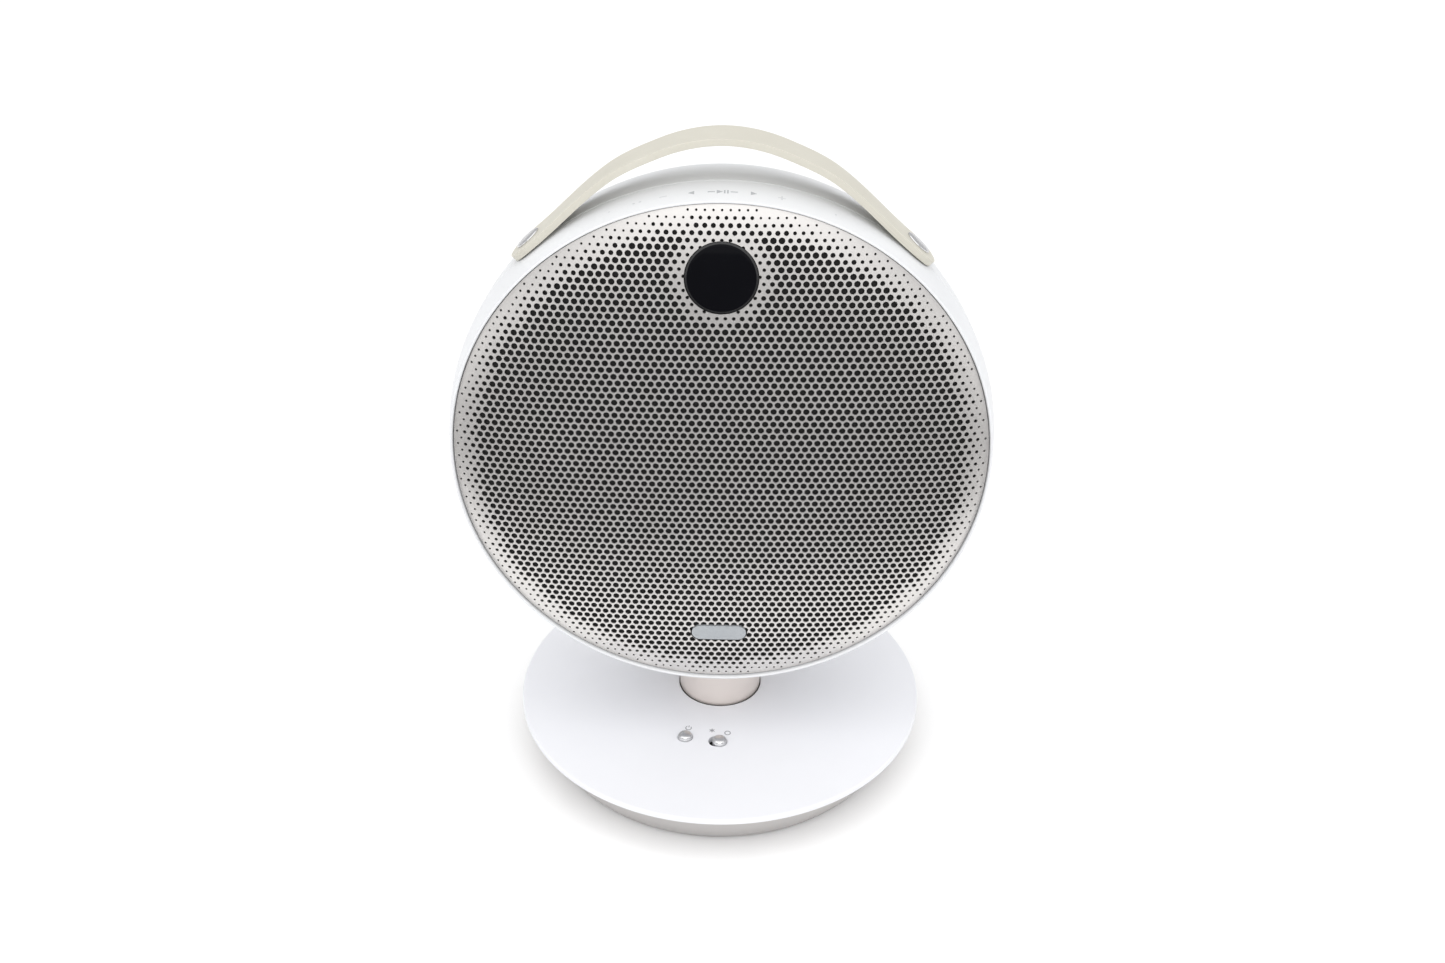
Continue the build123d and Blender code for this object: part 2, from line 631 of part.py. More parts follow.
# Round caps on posts through the strap and the shell, with a nut inside each.
CAP_SEAT = HEAD_RADIUS + 0.1 + STRAP_THICKNESS
POST_END = HEAD_RADIUS - 7
with BuildPart() as strap_caps:
    for turn in (1, -1):
        x, z = on_shell(turn * CAP_ANGLE, 1)
        seat = Plane(
            origin=(x * CAP_SEAT, RIM_Y + STRAP_DEPTH, HEAD_HEIGHT + z * CAP_SEAT),
            x_dir=(0, 1, 0), z_dir=(x, 0, z),
        )
        with BuildSketch(seat):
            Circle(6)
        extrude(amount=0.8)
        with BuildSketch(seat.offset(0.8)):
            Circle(6)
        extrude(amount=0.9, taper=38)
        with BuildSketch(seat):
            Circle(2)
        extrude(amount=POST_END - CAP_SEAT)
keep(strap_caps, "strap_caps")

with BuildPart() as strap_nuts:
    for turn in (1, -1):
        x, z = on_shell(turn * CAP_ANGLE, 1)
        seat = Plane(
            origin=(x * NUT_SEAT, RIM_Y + STRAP_DEPTH, HEAD_HEIGHT + z * NUT_SEAT),
            x_dir=(0, 1, 0), z_dir=(-x, 0, -z),
        )
        with BuildSketch(seat):
            RegularPolygon(4.2, 6)
            Circle(2.02, mode=Mode.SUBTRACT)
        extrude(amount=3)
keep(strap_nuts, "strap_nuts")

# ------------------------------------------------------------------ base
SLOT_LENGTH = SLIDER_TRAVEL + 2 * (KNOB_RADIUS + KNOB_GAP)
SLOT_X = SLIDER_X - SLIDER_TRAVEL / 2
BOSS_SPOTS = ring_of(74, 6, 0)
BOARD_SPOTS = [(x, CONTROL_Y + y) for x in (-27, 27) for y in (-12, 12)]
BASE_BOARD_TOP = 12.0
COVER_BOTTOM, COVER_TOP = 1.5, 3.5
STOP_CIRCLE, STOP_RADIUS = 23.7, 1.6
STOP_ANGLE = SWING + 11.5
with BuildPart() as base_top_plate:
    with BuildSketch(level(PLATE_UNDERSIDE)):
        Circle(BASE_RADIUS)
    extrude(amount=PLATE_THICKNESS)
    rim = base_top_plate.edges().filter_by(GeomType.CIRCLE).sort_by(Axis.Z)
    fillet(rim[-1], 0.9)
    chamfer(rim[0], 0.5)
    with BuildSketch(level(PLATE_UNDERSIDE)):
        Circle(25)
        with Locations(*BOARD_SPOTS):
            Circle(3)
    extrude(amount=BASE_BOARD_TOP - PLATE_UNDERSIDE)
    with BuildSketch(level(PLATE_UNDERSIDE)):
        with Locations(*BOSS_SPOTS):
            Circle(4)
    extrude(amount=9.2 - PLATE_UNDERSIDE)
    with BuildSketch(level(BASE_BOARD_TOP)):
        with PolarLocations(STOP_CIRCLE, 2, start_angle=90 - STOP_ANGLE, angular_range=2 * STOP_ANGLE, endpoint=True):
            Circle(STOP_RADIUS)
    extrude(amount=7 - BASE_BOARD_TOP)
    with BuildSketch(level(5)):
        Circle(SPIGOT_RADIUS + BUSH_WALL)
    extrude(amount=BASE_HEIGHT, mode=Mode.SUBTRACT)
    with BuildSketch(level(22.6)):
        Circle(BUSH_FLANGE + 0.1)
    extrude(amount=5, mode=Mode.SUBTRACT)
    with BuildSketch(level(5)):
        with Locations(*BOSS_SPOTS):
            Circle(1.4)
    extrude(amount=14, mode=Mode.SUBTRACT)
    with BuildSketch(level(5)):
        with Locations(*BOARD_SPOTS):
            Circle(1.2)
    extrude(amount=12.5, mode=Mode.SUBTRACT)
    with BuildSketch(level(PLATE_UNDERSIDE)):
        with Locations((BUTTON_X, CONTROL_Y)):
            Circle(KNOB_RADIUS + KNOB_GAP)
        with Locations((SLOT_X, CONTROL_Y)):
            SlotOverall(SLOT_LENGTH, 2 * (KNOB_RADIUS + KNOB_GAP))
    extrude(amount=PLATE_THICKNESS, mode=Mode.SUBTRACT)
keep(base_top_plate, "base_top_plate")

# Tapered wall of the base, with the cable inlet's opening at the back.
WALL_TOP_RADIUS, HOUSING_BOTTOM = 99.6, 1.0
INLET_WIDTH, INLET_THICKNESS, INLET_BOTTOM = 9.0, 3.2, 10.1
with BuildPart() as base_housing:
    with BuildSketch(Plane.XZ):
        with BuildLine():
            Polyline(
                (FOOT_RADIUS - 3, HOUSING_BOTTOM), (FOOT_RADIUS - 0.6, HOUSING_BOTTOM),
                (FOOT_RADIUS, HOUSING_BOTTOM + 0.6), (WALL_TOP_RADIUS, PLATE_UNDERSIDE),
                (WALL_TOP_RADIUS - 3.2, PLATE_UNDERSIDE), (FOOT_RADIUS - 3, HOUSING_BOTTOM + 2.6),
                close=True,
            )
        make_face()
    revolve(axis=Axis.Z)
    with BuildSketch(rearward(0, INLET_BOTTOM + INLET_THICKNESS / 2)):
        RectangleRounded(INLET_WIDTH + 0.6, INLET_THICKNESS + 0.6, 1.5)
    extrude(amount=BASE_RADIUS, mode=Mode.SUBTRACT)
keep(base_housing, "base_housing")

with BuildPart() as base_bottom_cover:
    with BuildSketch(level(COVER_BOTTOM)):
        Circle(FOOT_RADIUS - 3.1)
        with Locations(*BOSS_SPOTS):
            Circle(1.8, mode=Mode.SUBTRACT)
    extrude(amount=COVER_TOP - COVER_BOTTOM)
keep(base_bottom_cover, "base_bottom_cover")

with BuildPart() as foot_ring:
    with BuildSketch(Plane.XY):
        Circle(FOOT_RADIUS - 3.5)
        Circle(FOOT_RADIUS - 9, mode=Mode.SUBTRACT)
    extrude(amount=COVER_BOTTOM)
    fillet(foot_ring.edges().group_by(Axis.Z)[0], 0.5)
keep(foot_ring, "foot_ring")

# Steel ring that weights the base, standing on the bottom cover.
with BuildPart() as ballast_ring:
    with BuildSketch(level(COVER_TOP)):
        Circle(FOOT_RADIUS - 3.5)
        Circle(30, mode=Mode.SUBTRACT)
        with Locations(*BOSS_SPOTS):
            Circle(1.8, mode=Mode.SUBTRACT)
    extrude(amount=5)
keep(ballast_ring, "ballast_ring")

screws("base_screws", level(COVER_BOTTOM, up=-1), 2.8, 1.0, 1.3, 15, [(x, -y) for x, y in BOSS_SPOTS])

with BuildPart() as base_board:
    with BuildSketch(level(BASE_BOARD_TOP)):
        with Locations((0, CONTROL_Y)):
            Rectangle(62, 34)
        with Locations(*BOARD_SPOTS):
            Circle(1.3, mode=Mode.SUBTRACT)
    extrude(amount=-BOARD_THICKNESS)
keep(base_board, "base_board")

board_underside = level(BASE_BOARD_TOP - BOARD_THICKNESS, up=-1)
screws("board_screws", board_underside, 2.2, 1.2, 1.1, 6, [(x, -y) for x, y in BOARD_SPOTS])

with BuildPart() as power_switch:
    with BuildSketch(level(BASE_BOARD_TOP)):
        with Locations((BUTTON_X, CONTROL_Y)):
            Rectangle(6, 6)
    extrude(amount=3)
    with BuildSketch(level(BASE_BOARD_TOP)):
        with Locations((BUTTON_X, CONTROL_Y)):
            Circle(1.7)
    extrude(amount=3.7)
keep(power_switch, "power_switch")

with BuildPart() as slide_switch:
    with BuildSketch(level(BASE_BOARD_TOP)):
        with Locations((SLOT_X, CONTROL_Y)):
            Rectangle(9, 4.4)
    extrude(amount=4.4)
keep(slide_switch, "slide_switch")

# Inlet: a small board on the ballast with a flat socket in the opening of the wall.
INLET_REACH = 91.0
with BuildPart() as inlet_board:
    with BuildSketch(level(8.5)):
        with Locations((0, 70)):
            Rectangle(24, 22)
    extrude(amount=INLET_BOTTOM - 8.5)
keep(inlet_board, "inlet_board")

with BuildPart() as power_inlet:
    with BuildSketch(rearward(INLET_REACH, INLET_BOTTOM + INLET_THICKNESS / 2)):
        RectangleRounded(INLET_WIDTH, INLET_THICKNESS, 1.3)
    extrude(amount=76 - INLET_REACH)
    with BuildSketch(rearward(INLET_REACH, INLET_BOTTOM + INLET_THICKNESS / 2)):
        RectangleRounded(INLET_WIDTH - 0.8, INLET_THICKNESS - 0.8, 1.0)
        RectangleRounded(INLET_WIDTH - 2.4, 0.7, 0.3, mode=Mode.SUBTRACT)
    extrude(amount=-6, mode=Mode.SUBTRACT)
keep(power_inlet, "power_inlet")

# Plain flanged bush that the neck's spigot turns in, with 0.05 mm of radial clearance.
with BuildPart() as swivel_bush:
    with BuildSketch(Plane.XY.offset(BUSH_FOOT)):
        Circle(SPIGOT_RADIUS + BUSH_WALL)
        Circle(SPIGOT_RADIUS + 0.05, mode=Mode.SUBTRACT)
    extrude(amount=24 - BUSH_FOOT)
    with BuildSketch(Plane.XY.offset(22.6)):
        Circle(BUSH_FLANGE)
        Circle(SPIGOT_RADIUS + 0.05, mode=Mode.SUBTRACT)
    extrude(amount=1.4)
keep(swivel_bush, "swivel_bush")

# Fixed cable that rises through the neck, and the socket that it comes out of.
with BuildPart() as cable_socket:
    with BuildSketch(level(COVER_TOP)):
        Rectangle(12, 9)
    extrude(amount=2.4)
keep(cable_socket, "cable_socket")

with BuildPart() as neck_cable:
    with BuildSketch(Plane.XY.offset(COVER_TOP + 2.4)):
        Circle(CABLE_RADIUS)
    extrude(amount=CABLE_TOP - COVER_TOP - 2.4)
keep(neck_cable, "neck_cable")

# ------------------------------------------------------------------ controls on the base
KNOB_SHOULDER, KNOB_TOP, COLLAR_BOTTOM = 25.0, 27.0, 20.1


def knob(x, collar_width, collar_length, stem_radius, stem_end):
    """Domed metal knob through the plate, with a collar under it and a stem to its switch."""
    with BuildPart() as part:
        with BuildSketch(level(COLLAR_BOTTOM)):
            with Locations((x, CONTROL_Y)):
                Circle(KNOB_RADIUS)
        extrude(amount=KNOB_TOP - COLLAR_BOTTOM)
        top = part.edges().group_by(Axis.Z)[-1]
        fillet(top, KNOB_TOP - KNOB_SHOULDER - 0.1)
    with BuildPart() as follower:
        with BuildSketch(level(COLLAR_BOTTOM - 1)):
            with Locations((x, CONTROL_Y)):
                RectangleRounded(collar_length, collar_width, 1.5)
        extrude(amount=1)
        with BuildSketch(level(stem_end)):
            with Locations((x, CONTROL_Y)):
                Circle(stem_radius)
        extrude(amount=COLLAR_BOTTOM - 1 - stem_end)
    return part, follower


power_button, button_plunger = knob(BUTTON_X, 9.6, 9.6, 1.5, 16.6)
keep(power_button, "power_button")
keep(button_plunger, "button_plunger")

mode_knob, slider_carrier = knob(SLIDER_X, 10.4, 14.4, 1.2, 16.7)
keep(mode_knob, "mode_knob")
keep(slider_carrier, "slider_carrier")

for name, part in pieces.items():
    export_step(part, f"parts/{name}.step")
print(len(pieces), "pieces")
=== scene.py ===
import json
from math import atan2, copysign, cos, hypot, inf, pi, radians, sin, sqrt

import bpy
import numpy as np
from mathutils import Matrix, Vector
from mathutils.geometry import interpolate_bezier


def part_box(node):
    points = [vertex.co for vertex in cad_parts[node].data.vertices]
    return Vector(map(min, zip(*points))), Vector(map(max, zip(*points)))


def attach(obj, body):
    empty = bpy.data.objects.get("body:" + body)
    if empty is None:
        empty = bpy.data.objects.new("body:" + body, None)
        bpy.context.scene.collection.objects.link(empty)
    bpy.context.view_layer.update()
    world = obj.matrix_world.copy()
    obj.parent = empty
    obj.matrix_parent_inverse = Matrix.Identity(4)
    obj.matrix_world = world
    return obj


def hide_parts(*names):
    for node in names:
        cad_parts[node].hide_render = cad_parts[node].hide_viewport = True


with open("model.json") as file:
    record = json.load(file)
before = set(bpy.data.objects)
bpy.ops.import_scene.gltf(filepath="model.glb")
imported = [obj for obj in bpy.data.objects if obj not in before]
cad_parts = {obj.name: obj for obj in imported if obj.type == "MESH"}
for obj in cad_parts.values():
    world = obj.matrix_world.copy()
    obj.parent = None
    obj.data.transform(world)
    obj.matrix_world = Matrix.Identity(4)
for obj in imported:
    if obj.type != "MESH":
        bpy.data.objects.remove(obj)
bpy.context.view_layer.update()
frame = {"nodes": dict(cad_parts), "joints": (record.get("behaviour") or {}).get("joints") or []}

# ---------------------------------------------------------------- stage
# A pale table top in a bright even room: a wide soft light straight above, a weak panel at each
# side and one in front. The camera stands close by and a little above the head.
MM = 0.001
CAMERA_PLACE = Vector((8.3, -581.3, 476.9)) * MM
CAMERA_PITCH, CAMERA_YAW, CAMERA_ROLL = radians(25.40), radians(1.09), radians(0.34)
bpy.ops.object.select_all(action="DESELECT")
bpy.ops.object.camera_add(location=CAMERA_PLACE)
camera = bpy.context.object
camera.name = "studio_camera"
turn = Matrix.Rotation(CAMERA_YAW, 3, "Z") @ Matrix.Rotation(pi / 2 - CAMERA_PITCH, 3, "X")
camera.rotation_euler = (turn @ Matrix.Rotation(CAMERA_ROLL, 3, "Z")).to_euler()
camera.data.sensor_width = 36
camera.data.lens = 34.71
camera.data.shift_x = 0.0042
camera.data.shift_y = -0.0765
camera.data.clip_start = 0.02
bpy.context.scene.camera = camera
bpy.context.scene.view_settings.view_transform = "Standard"

room = bpy.data.worlds.new("studio_room")
bpy.context.scene.world = room
room.use_nodes = True
sky = room.node_tree.nodes
links = room.node_tree.links
place = sky.new("ShaderNodeTexCoord")
split = sky.new("ShaderNodeSeparateXYZ")
height = sky.new("ShaderNodeMapRange")
height.inputs["From Min"].default_value = -0.1
height.inputs["From Max"].default_value = 1.0
tones = sky.new("ShaderNodeValToRGB")
tones.color_ramp.elements[0].color = (0.85, 0.85, 0.86, 1)
tones.color_ramp.elements[1].color = (1.0, 1.0, 1.0, 1)
links.new(place.outputs["Generated"], split.inputs["Vector"])
links.new(split.outputs["Z"], height.inputs["Value"])
links.new(height.outputs["Result"], tones.inputs["Fac"])
links.new(tones.outputs["Color"], sky["Background"].inputs["Color"])
sky["Background"].inputs["Strength"].default_value = 0.66


def soft_panel(name, place, aim, size, power):
    """Square light panel that faces a point."""
    bpy.ops.object.light_add(type="AREA", location=place)
    lamp = bpy.context.object
    lamp.name = name
    lamp.data.shape = "SQUARE"
    lamp.data.size = size
    lamp.data.energy = power
    lamp.rotation_euler = (Vector(aim) - Vector(place)).to_track_quat("-Z", "Y").to_euler()
    return lamp


soft_panel("left_panel", (-1.5, -0.5, 0.8), (0, 0, 0.18), 0.9, 2.6)
soft_panel("right_panel", (1.5, -0.5, 0.8), (0, 0, 0.18), 0.9, 2.6)
soft_panel("front_panel", (0.0, -2.2, 1.15), (0, 0, 0.2), 2.0, 11)
bpy.ops.object.light_add(type="SUN", location=(0, 0, 3), rotation=(radians(15), 0, 0))
ceiling = bpy.context.object
ceiling.name = "bright_ceiling"
ceiling.data.energy = 1.85
ceiling.data.angle = radians(90)

bpy.ops.object.select_all(action="DESELECT")
bpy.ops.mesh.primitive_plane_add(size=16, location=(0, 0, 0))
floor = bpy.context.object
floor.name = "table_top"

# ---------------------------------------------------------------- base: tapered wall
# The lower body of the base is one injection-moulded ring of the same white plastic, its wall leaning
# in towards the foot. Its colour is painted shade: a warm grey for the shadow under the plate's overhang.
# The plate sits on its top edge, and the power socket shows at the back.


def grain_group():
    """Mottled colour, uneven roughness and a fine grain, shared by every material."""
    group = bpy.data.node_groups.new("surface_grain", "ShaderNodeTree")
    face = group.interface
    for label, kind, value in (
        ("Colour", "NodeSocketColor", (0.5, 0.5, 0.5, 1)),
        ("Tint", "NodeSocketColor", (0.5, 0.5, 0.5, 1)),
        ("Grain Scale", "NodeSocketFloat", 900.0),
        ("Mottle Scale", "NodeSocketFloat", 18.0),
        ("Smooth", "NodeSocketFloat", 0.4),
        ("Rough", "NodeSocketFloat", 0.5),
    ):
        face.new_socket(label, in_out="INPUT", socket_type=kind).default_value = value
    for label, kind in (
        ("Colour", "NodeSocketColor"), ("Roughness", "NodeSocketFloat"), ("Height", "NodeSocketFloat"),
    ):
        face.new_socket(label, in_out="OUTPUT", socket_type=kind)
    node, link = group.nodes.new, group.links.new
    source, result = node("NodeGroupInput"), node("NodeGroupOutput")
    where = node("ShaderNodeTexCoord")
    fine, broad = node("ShaderNodeTexNoise"), node("ShaderNodeTexNoise")
    fine.inputs["Detail"].default_value = 4
    broad.inputs["Detail"].default_value = 5
    broad.inputs["Roughness"].default_value = 0.62
    spread = node("ShaderNodeMapRange")
    spread.inputs["From Min"].default_value = 0.33
    spread.inputs["From Max"].default_value = 0.67
    mixed = node("ShaderNodeMix")
    mixed.data_type = "RGBA"
    both = node("ShaderNodeMath")
    both.operation = "MULTIPLY_ADD"
    both.inputs[1].default_value = 0.5
    half = node("ShaderNodeMath")
    half.operation = "MULTIPLY"
    half.inputs[1].default_value = 0.5
    dull = node("ShaderNodeMapRange")
    link(where.outputs["Object"], fine.inputs["Vector"])
    link(where.outputs["Object"], broad.inputs["Vector"])
    link(source.outputs["Grain Scale"], fine.inputs["Scale"])
    link(source.outputs["Mottle Scale"], broad.inputs["Scale"])
    link(broad.outputs["Fac"], spread.inputs["Value"])
    link(spread.outputs["Result"], mixed.inputs["Factor"])
    link(source.outputs["Colour"], mixed.inputs["A"])
    link(source.outputs["Tint"], mixed.inputs["B"])
    link(fine.outputs["Fac"], half.inputs[0])
    link(spread.outputs["Result"], both.inputs[0])
    link(half.outputs["Value"], both.inputs[2])
    link(both.outputs["Value"], dull.inputs["Value"])
    link(source.outputs["Smooth"], dull.inputs["To Min"])
    link(source.outputs["Rough"], dull.inputs["To Max"])
    link(mixed.outputs["Result"], result.inputs["Colour"])
    link(dull.outputs["Result"], result.inputs["Roughness"])
    link(fine.outputs["Fac"], result.inputs["Height"])
    return group


surface_grain = grain_group()


def finish_of(name, colour, tint, rough, grain=900, grain_depth=0.02, mottle=18, metallic=0.0, relief=None):
    """Material on the shared grain. relief is a group whose Height is laid over the grain, and its depth."""
    finish = bpy.data.materials.new(name)
    finish.use_nodes = True
    finish.diffuse_color = (*colour, 1)
    node, link = finish.node_tree.nodes.new, finish.node_tree.links.new
    skin = finish.node_tree.nodes["Principled BSDF"]
    skin.inputs["Metallic"].default_value = metallic
    base = node("ShaderNodeGroup")
    base.node_tree = surface_grain
    base.inputs["Colour"].default_value = (*colour, 1)
    base.inputs["Tint"].default_value = (*tint, 1)
    base.inputs["Grain Scale"].default_value = grain
    base.inputs["Mottle Scale"].default_value = mottle
    base.inputs["Smooth"].default_value = rough[0]
    base.inputs["Rough"].default_value = rough[1]
    bump = node("ShaderNodeBump")
    bump.inputs["Strength"].default_value = 0.35
    bump.inputs["Distance"].default_value = grain_depth * MM
    link(base.outputs["Colour"], skin.inputs["Base Color"])
    link(base.outputs["Roughness"], skin.inputs["Roughness"])
    link(base.outputs["Height"], bump.inputs["Height"])
    link(bump.outputs["Normal"], skin.inputs["Normal"])
    if relief:
        group, depth = relief
        pattern = node("ShaderNodeGroup")
        pattern.node_tree = group
        over = node("ShaderNodeBump")
        over.inputs["Strength"].default_value = 0.6
        over.inputs["Distance"].default_value = depth * MM
        link(pattern.outputs["Height"], over.inputs["Height"])
        link(bump.outputs["Normal"], over.inputs["Normal"])
        link(over.outputs["Normal"], skin.inputs["Normal"])
    return finish


def set_finish(piece, finish):
    """Give a piece one material on all its faces."""
    piece.data.materials.clear()
    piece.data.materials.append(finish)


def turned(name, rings, segments, centre, upright=True, ends=False):
    """Round form made as on a lathe: a circle extruded and resized from ring to ring.
    rings are (distance along the axis, radius); the form closes on itself unless its ends are filled."""
    along = Vector((0, 0, 1)) if upright else Vector((0, 1, 0))
    centre = Vector(centre)
    at, radius = rings[0]
    bpy.ops.object.select_all(action="DESELECT")
    bpy.ops.mesh.primitive_circle_add(
        vertices=segments, radius=radius, fill_type="NGON" if ends else "NOTHING",
        location=centre + along * at, rotation=(0 if upright else pi / 2, 0, 0),
    )
    piece = bpy.context.object
    piece.name = piece.data.name = name
    bpy.ops.object.transform_apply(location=True, rotation=True, scale=False)
    bpy.ops.object.mode_set(mode="EDIT")
    bpy.ops.mesh.select_all(action="SELECT")
    for next_at, next_radius in rings[1:]:
        step = along * (next_at - at)
        bpy.ops.mesh.extrude_region_move(TRANSFORM_OT_translate={"value": step})
        factor = next_radius / radius
        grow = (factor, factor, 1) if upright else (factor, 1, factor)
        bpy.ops.transform.resize(value=grow, center_override=centre + along * next_at)
        at, radius = next_at, next_radius
    bpy.ops.mesh.select_all(action="SELECT")
    bpy.ops.mesh.remove_doubles(threshold=0.002 * MM)
    bpy.ops.mesh.normals_make_consistent(inside=False)
    bpy.ops.object.mode_set(mode="OBJECT")
    return piece


def pick(piece):
    """Select one piece only and make it the active one."""
    bpy.ops.object.select_all(action="DESELECT")
    piece.select_set(True)
    bpy.context.view_layer.objects.active = piece


def soften(piece, width, segments=3, angle=35):
    """Round the edges that are sharper than an angle and shade the rest smooth."""
    pick(piece)
    edge = piece.modifiers.new("edges", "BEVEL")
    edge.width = width
    edge.segments = segments
    edge.limit_method = "ANGLE"
    edge.angle_limit = radians(angle)
    bpy.ops.object.modifier_apply(modifier=edge.name)
    bpy.ops.object.shade_smooth_by_angle(angle=radians(angle))


def cut_out(piece, cutter):
    """Cut one closed form out of a piece and remove the cutter."""
    pick(piece)
    hole = piece.modifiers.new("hole", "BOOLEAN")
    hole.operation = "DIFFERENCE"
    hole.object = cutter
    bpy.ops.object.modifier_apply(modifier=hole.name)
    bpy.data.objects.remove(cutter)


def shade(piece, angle):
    """Shade a piece smooth, with the edges sharper than an angle kept crisp."""
    pick(piece)
    bpy.ops.object.shade_smooth_by_angle(angle=radians(angle))


def thicken(piece, thickness, offset=-1.0, even=False):
    """Give a surface its thickness: behind it at an offset of -1, and half on each side at 0."""
    pick(piece)
    sheet = piece.modifiers.new("thickness", "SOLIDIFY")
    sheet.thickness = thickness
    sheet.offset = offset
    sheet.use_even_offset = even
    bpy.ops.object.modifier_apply(modifier=sheet.name)


def face_out(piece):
    """Turn all the faces of a closed form outward."""
    pick(piece)
    bpy.ops.object.mode_set(mode="EDIT")
    bpy.ops.mesh.select_all(action="SELECT")
    bpy.ops.mesh.normals_make_consistent(inside=False)
    bpy.ops.object.mode_set(mode="OBJECT")


def millimetres(rings):
    """Rings given in millimetres, in the units of the scene."""
    return [(at * MM, radius * MM) for at, radius in rings]


ROUND = 160
wall_low, wall_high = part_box("base_housing")
plate_low, plate_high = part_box("base_top_plate")
wall_foot, wall_top = wall_low.z / MM, wall_high.z / MM
foot_radius, wall_radius = 86.5, wall_high.x / MM
slide_joint = next(j for j in frame["joints"] if j["name"] == "mode_slide")
base_right = Vector(slide_joint["axis"])
base_rear = Vector((-base_right.y, base_right.x, 0))
base_wall = turned(
    "base_wall",
    millimetres([
        (wall_foot, foot_radius - 3), (wall_foot, foot_radius), (wall_top, wall_radius),
        (wall_top, wall_radius - 3.2), (wall_foot + 2.6, foot_radius - 3), (wall_foot, foot_radius - 3),
    ]),
    ROUND, (0, 0, 0),
)
socket_low, socket_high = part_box("power_inlet")
socket_height = (socket_low.z + socket_high.z) / 2
bpy.ops.object.select_all(action="DESELECT")
bpy.ops.mesh.primitive_cube_add(
    size=1, location=base_rear * 90 * MM + Vector((0, 0, socket_height)),
    rotation=(0, 0, atan2(base_right.y, base_right.x)), scale=(9.6 * MM, 30 * MM, 3.8 * MM),
)
opening = bpy.context.object
bpy.ops.object.transform_apply(location=True, rotation=True, scale=True)
soften(opening, 1.6 * MM, 5, 60)
cut_out(base_wall, opening)
soften(base_wall, 0.5 * MM, 3, 30)
# Painted shade: the white wall is coloured warm grey to stand in for the shadow under the plate's edge.
wall_painted_shade_grey = finish_of(
    "white_moulding_painted_shade", (0.425, 0.408, 0.40), (0.45, 0.433, 0.425), (0.42, 0.52), 1400, 0.03,
)
set_finish(base_wall, wall_painted_shade_grey)
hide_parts("base_housing")
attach(base_wall, "base")

# ---------------------------------------------------------------- base: underside
# A black bottom cover is held by six screws, with a rubber ring for a foot. A steel ballast ring
# lies on it, and the small boards and switches stand over that. All keep their built shape.
black_moulding = finish_of(
    "black_moulding", (0.022, 0.022, 0.024), (0.035, 0.035, 0.037), (0.45, 0.62), 1200, 0.04,
)
foot_rubber = finish_of("foot_rubber", (0.020, 0.020, 0.020), (0.034, 0.033, 0.032), (0.7, 0.9), 700, 0.08)
zinc = finish_of("zinc_plate", (0.56, 0.56, 0.57), (0.45, 0.45, 0.46), (0.22, 0.4), 500, 0.02, 60, 1.0)
painted_iron = finish_of(
    "painted_iron", (0.05, 0.05, 0.055), (0.075, 0.073, 0.072), (0.5, 0.75), 260, 0.12, 40,
)
board_green = finish_of(
    "board_green", (0.010, 0.085, 0.040), (0.014, 0.110, 0.055), (0.22, 0.4), 420, 0.03, 90,
)
cable_jacket = finish_of("cable_jacket", (0.018, 0.018, 0.019), (0.030, 0.030, 0.031), (0.4, 0.6), 900, 0.03)
for node, finish in (
    ("base_bottom_cover", black_moulding), ("foot_ring", foot_rubber), ("ballast_ring", painted_iron),
    ("base_screws", zinc), ("board_screws", zinc), ("base_board", board_green), ("inlet_board", board_green),
    ("power_switch", black_moulding), ("slide_switch", zinc), ("power_inlet", zinc),
    ("swivel_bush", black_moulding), ("cable_socket", black_moulding), ("neck_cable", cable_jacket),
    ("button_plunger", black_moulding), ("slider_carrier", black_moulding),
):
    set_finish(frame["nodes"][node], finish)

# ---------------------------------------------------------------- base: top plate
# A disc with a matte white coat and a fine rounded edge. It is bored for the neck and the power
# button, and slotted for the slide knob.
plate_top, plate_under = plate_high.z / MM, wall_top
plate_radius = (plate_high.x - plate_low.x) / 2 / MM
NECK_BORE, BUSH_BORE, BUSH_SEAT = 20.9, 19.1, 22.6
EDGE = 0.9
plate_edge = [
    (plate_top - EDGE + EDGE * sin(a), plate_radius - EDGE + EDGE * cos(a))
    for a in np.linspace(0, pi / 2, 6)
]
base_plate = turned(
    "base_plate",
    millimetres([
        (plate_under, BUSH_BORE), (plate_under, plate_radius - 0.6), (plate_under + 0.6, plate_radius),
        *plate_edge, (plate_top, 60), (plate_top, NECK_BORE + 0.25), (plate_top - 0.25, NECK_BORE),
        (BUSH_SEAT, NECK_BORE), (BUSH_SEAT, BUSH_BORE), (plate_under, BUSH_BORE),
    ]),
    ROUND, (0, 0, 0),
)
button_low, button_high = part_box("power_button")
knob_low, knob_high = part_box("mode_knob")
button_place = (button_low + button_high) / 2
knob_place = (knob_low + knob_high) / 2
knob_radius = (knob_high.x - knob_low.x) / 2
KNOB_GAP = 0.2 * MM
slide_travel = -slide_joint["range_m"][0]
BORE_PAST = 10 * MM
knob_bore = [
    (plate_under * MM - BORE_PAST, knob_radius + KNOB_GAP),
    (plate_top * MM + BORE_PAST, knob_radius + KNOB_GAP),
]
button_hole = turned("button_hole", knob_bore, 48, (button_place.x, button_place.y, 0), ends=True)
cut_out(base_plate, button_hole)
slot_hole = turned("slot_hole", knob_bore, 48, (knob_place.x, knob_place.y, 0), ends=True)
for point in slot_hole.data.vertices:
    if (point.co - knob_place).dot(base_right) < -0.01 * MM:
        point.co -= base_right * slide_travel
cut_out(base_plate, slot_hole)
shade(base_plate, 30)
matte_white = finish_of(
    "matte_white_coat", (0.765, 0.77, 0.80), (0.785, 0.79, 0.82), (0.5, 0.6), 2200, 0.015, 9,
)
set_finish(base_plate, matte_white)
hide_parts("base_top_plate")
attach(base_plate, "base")

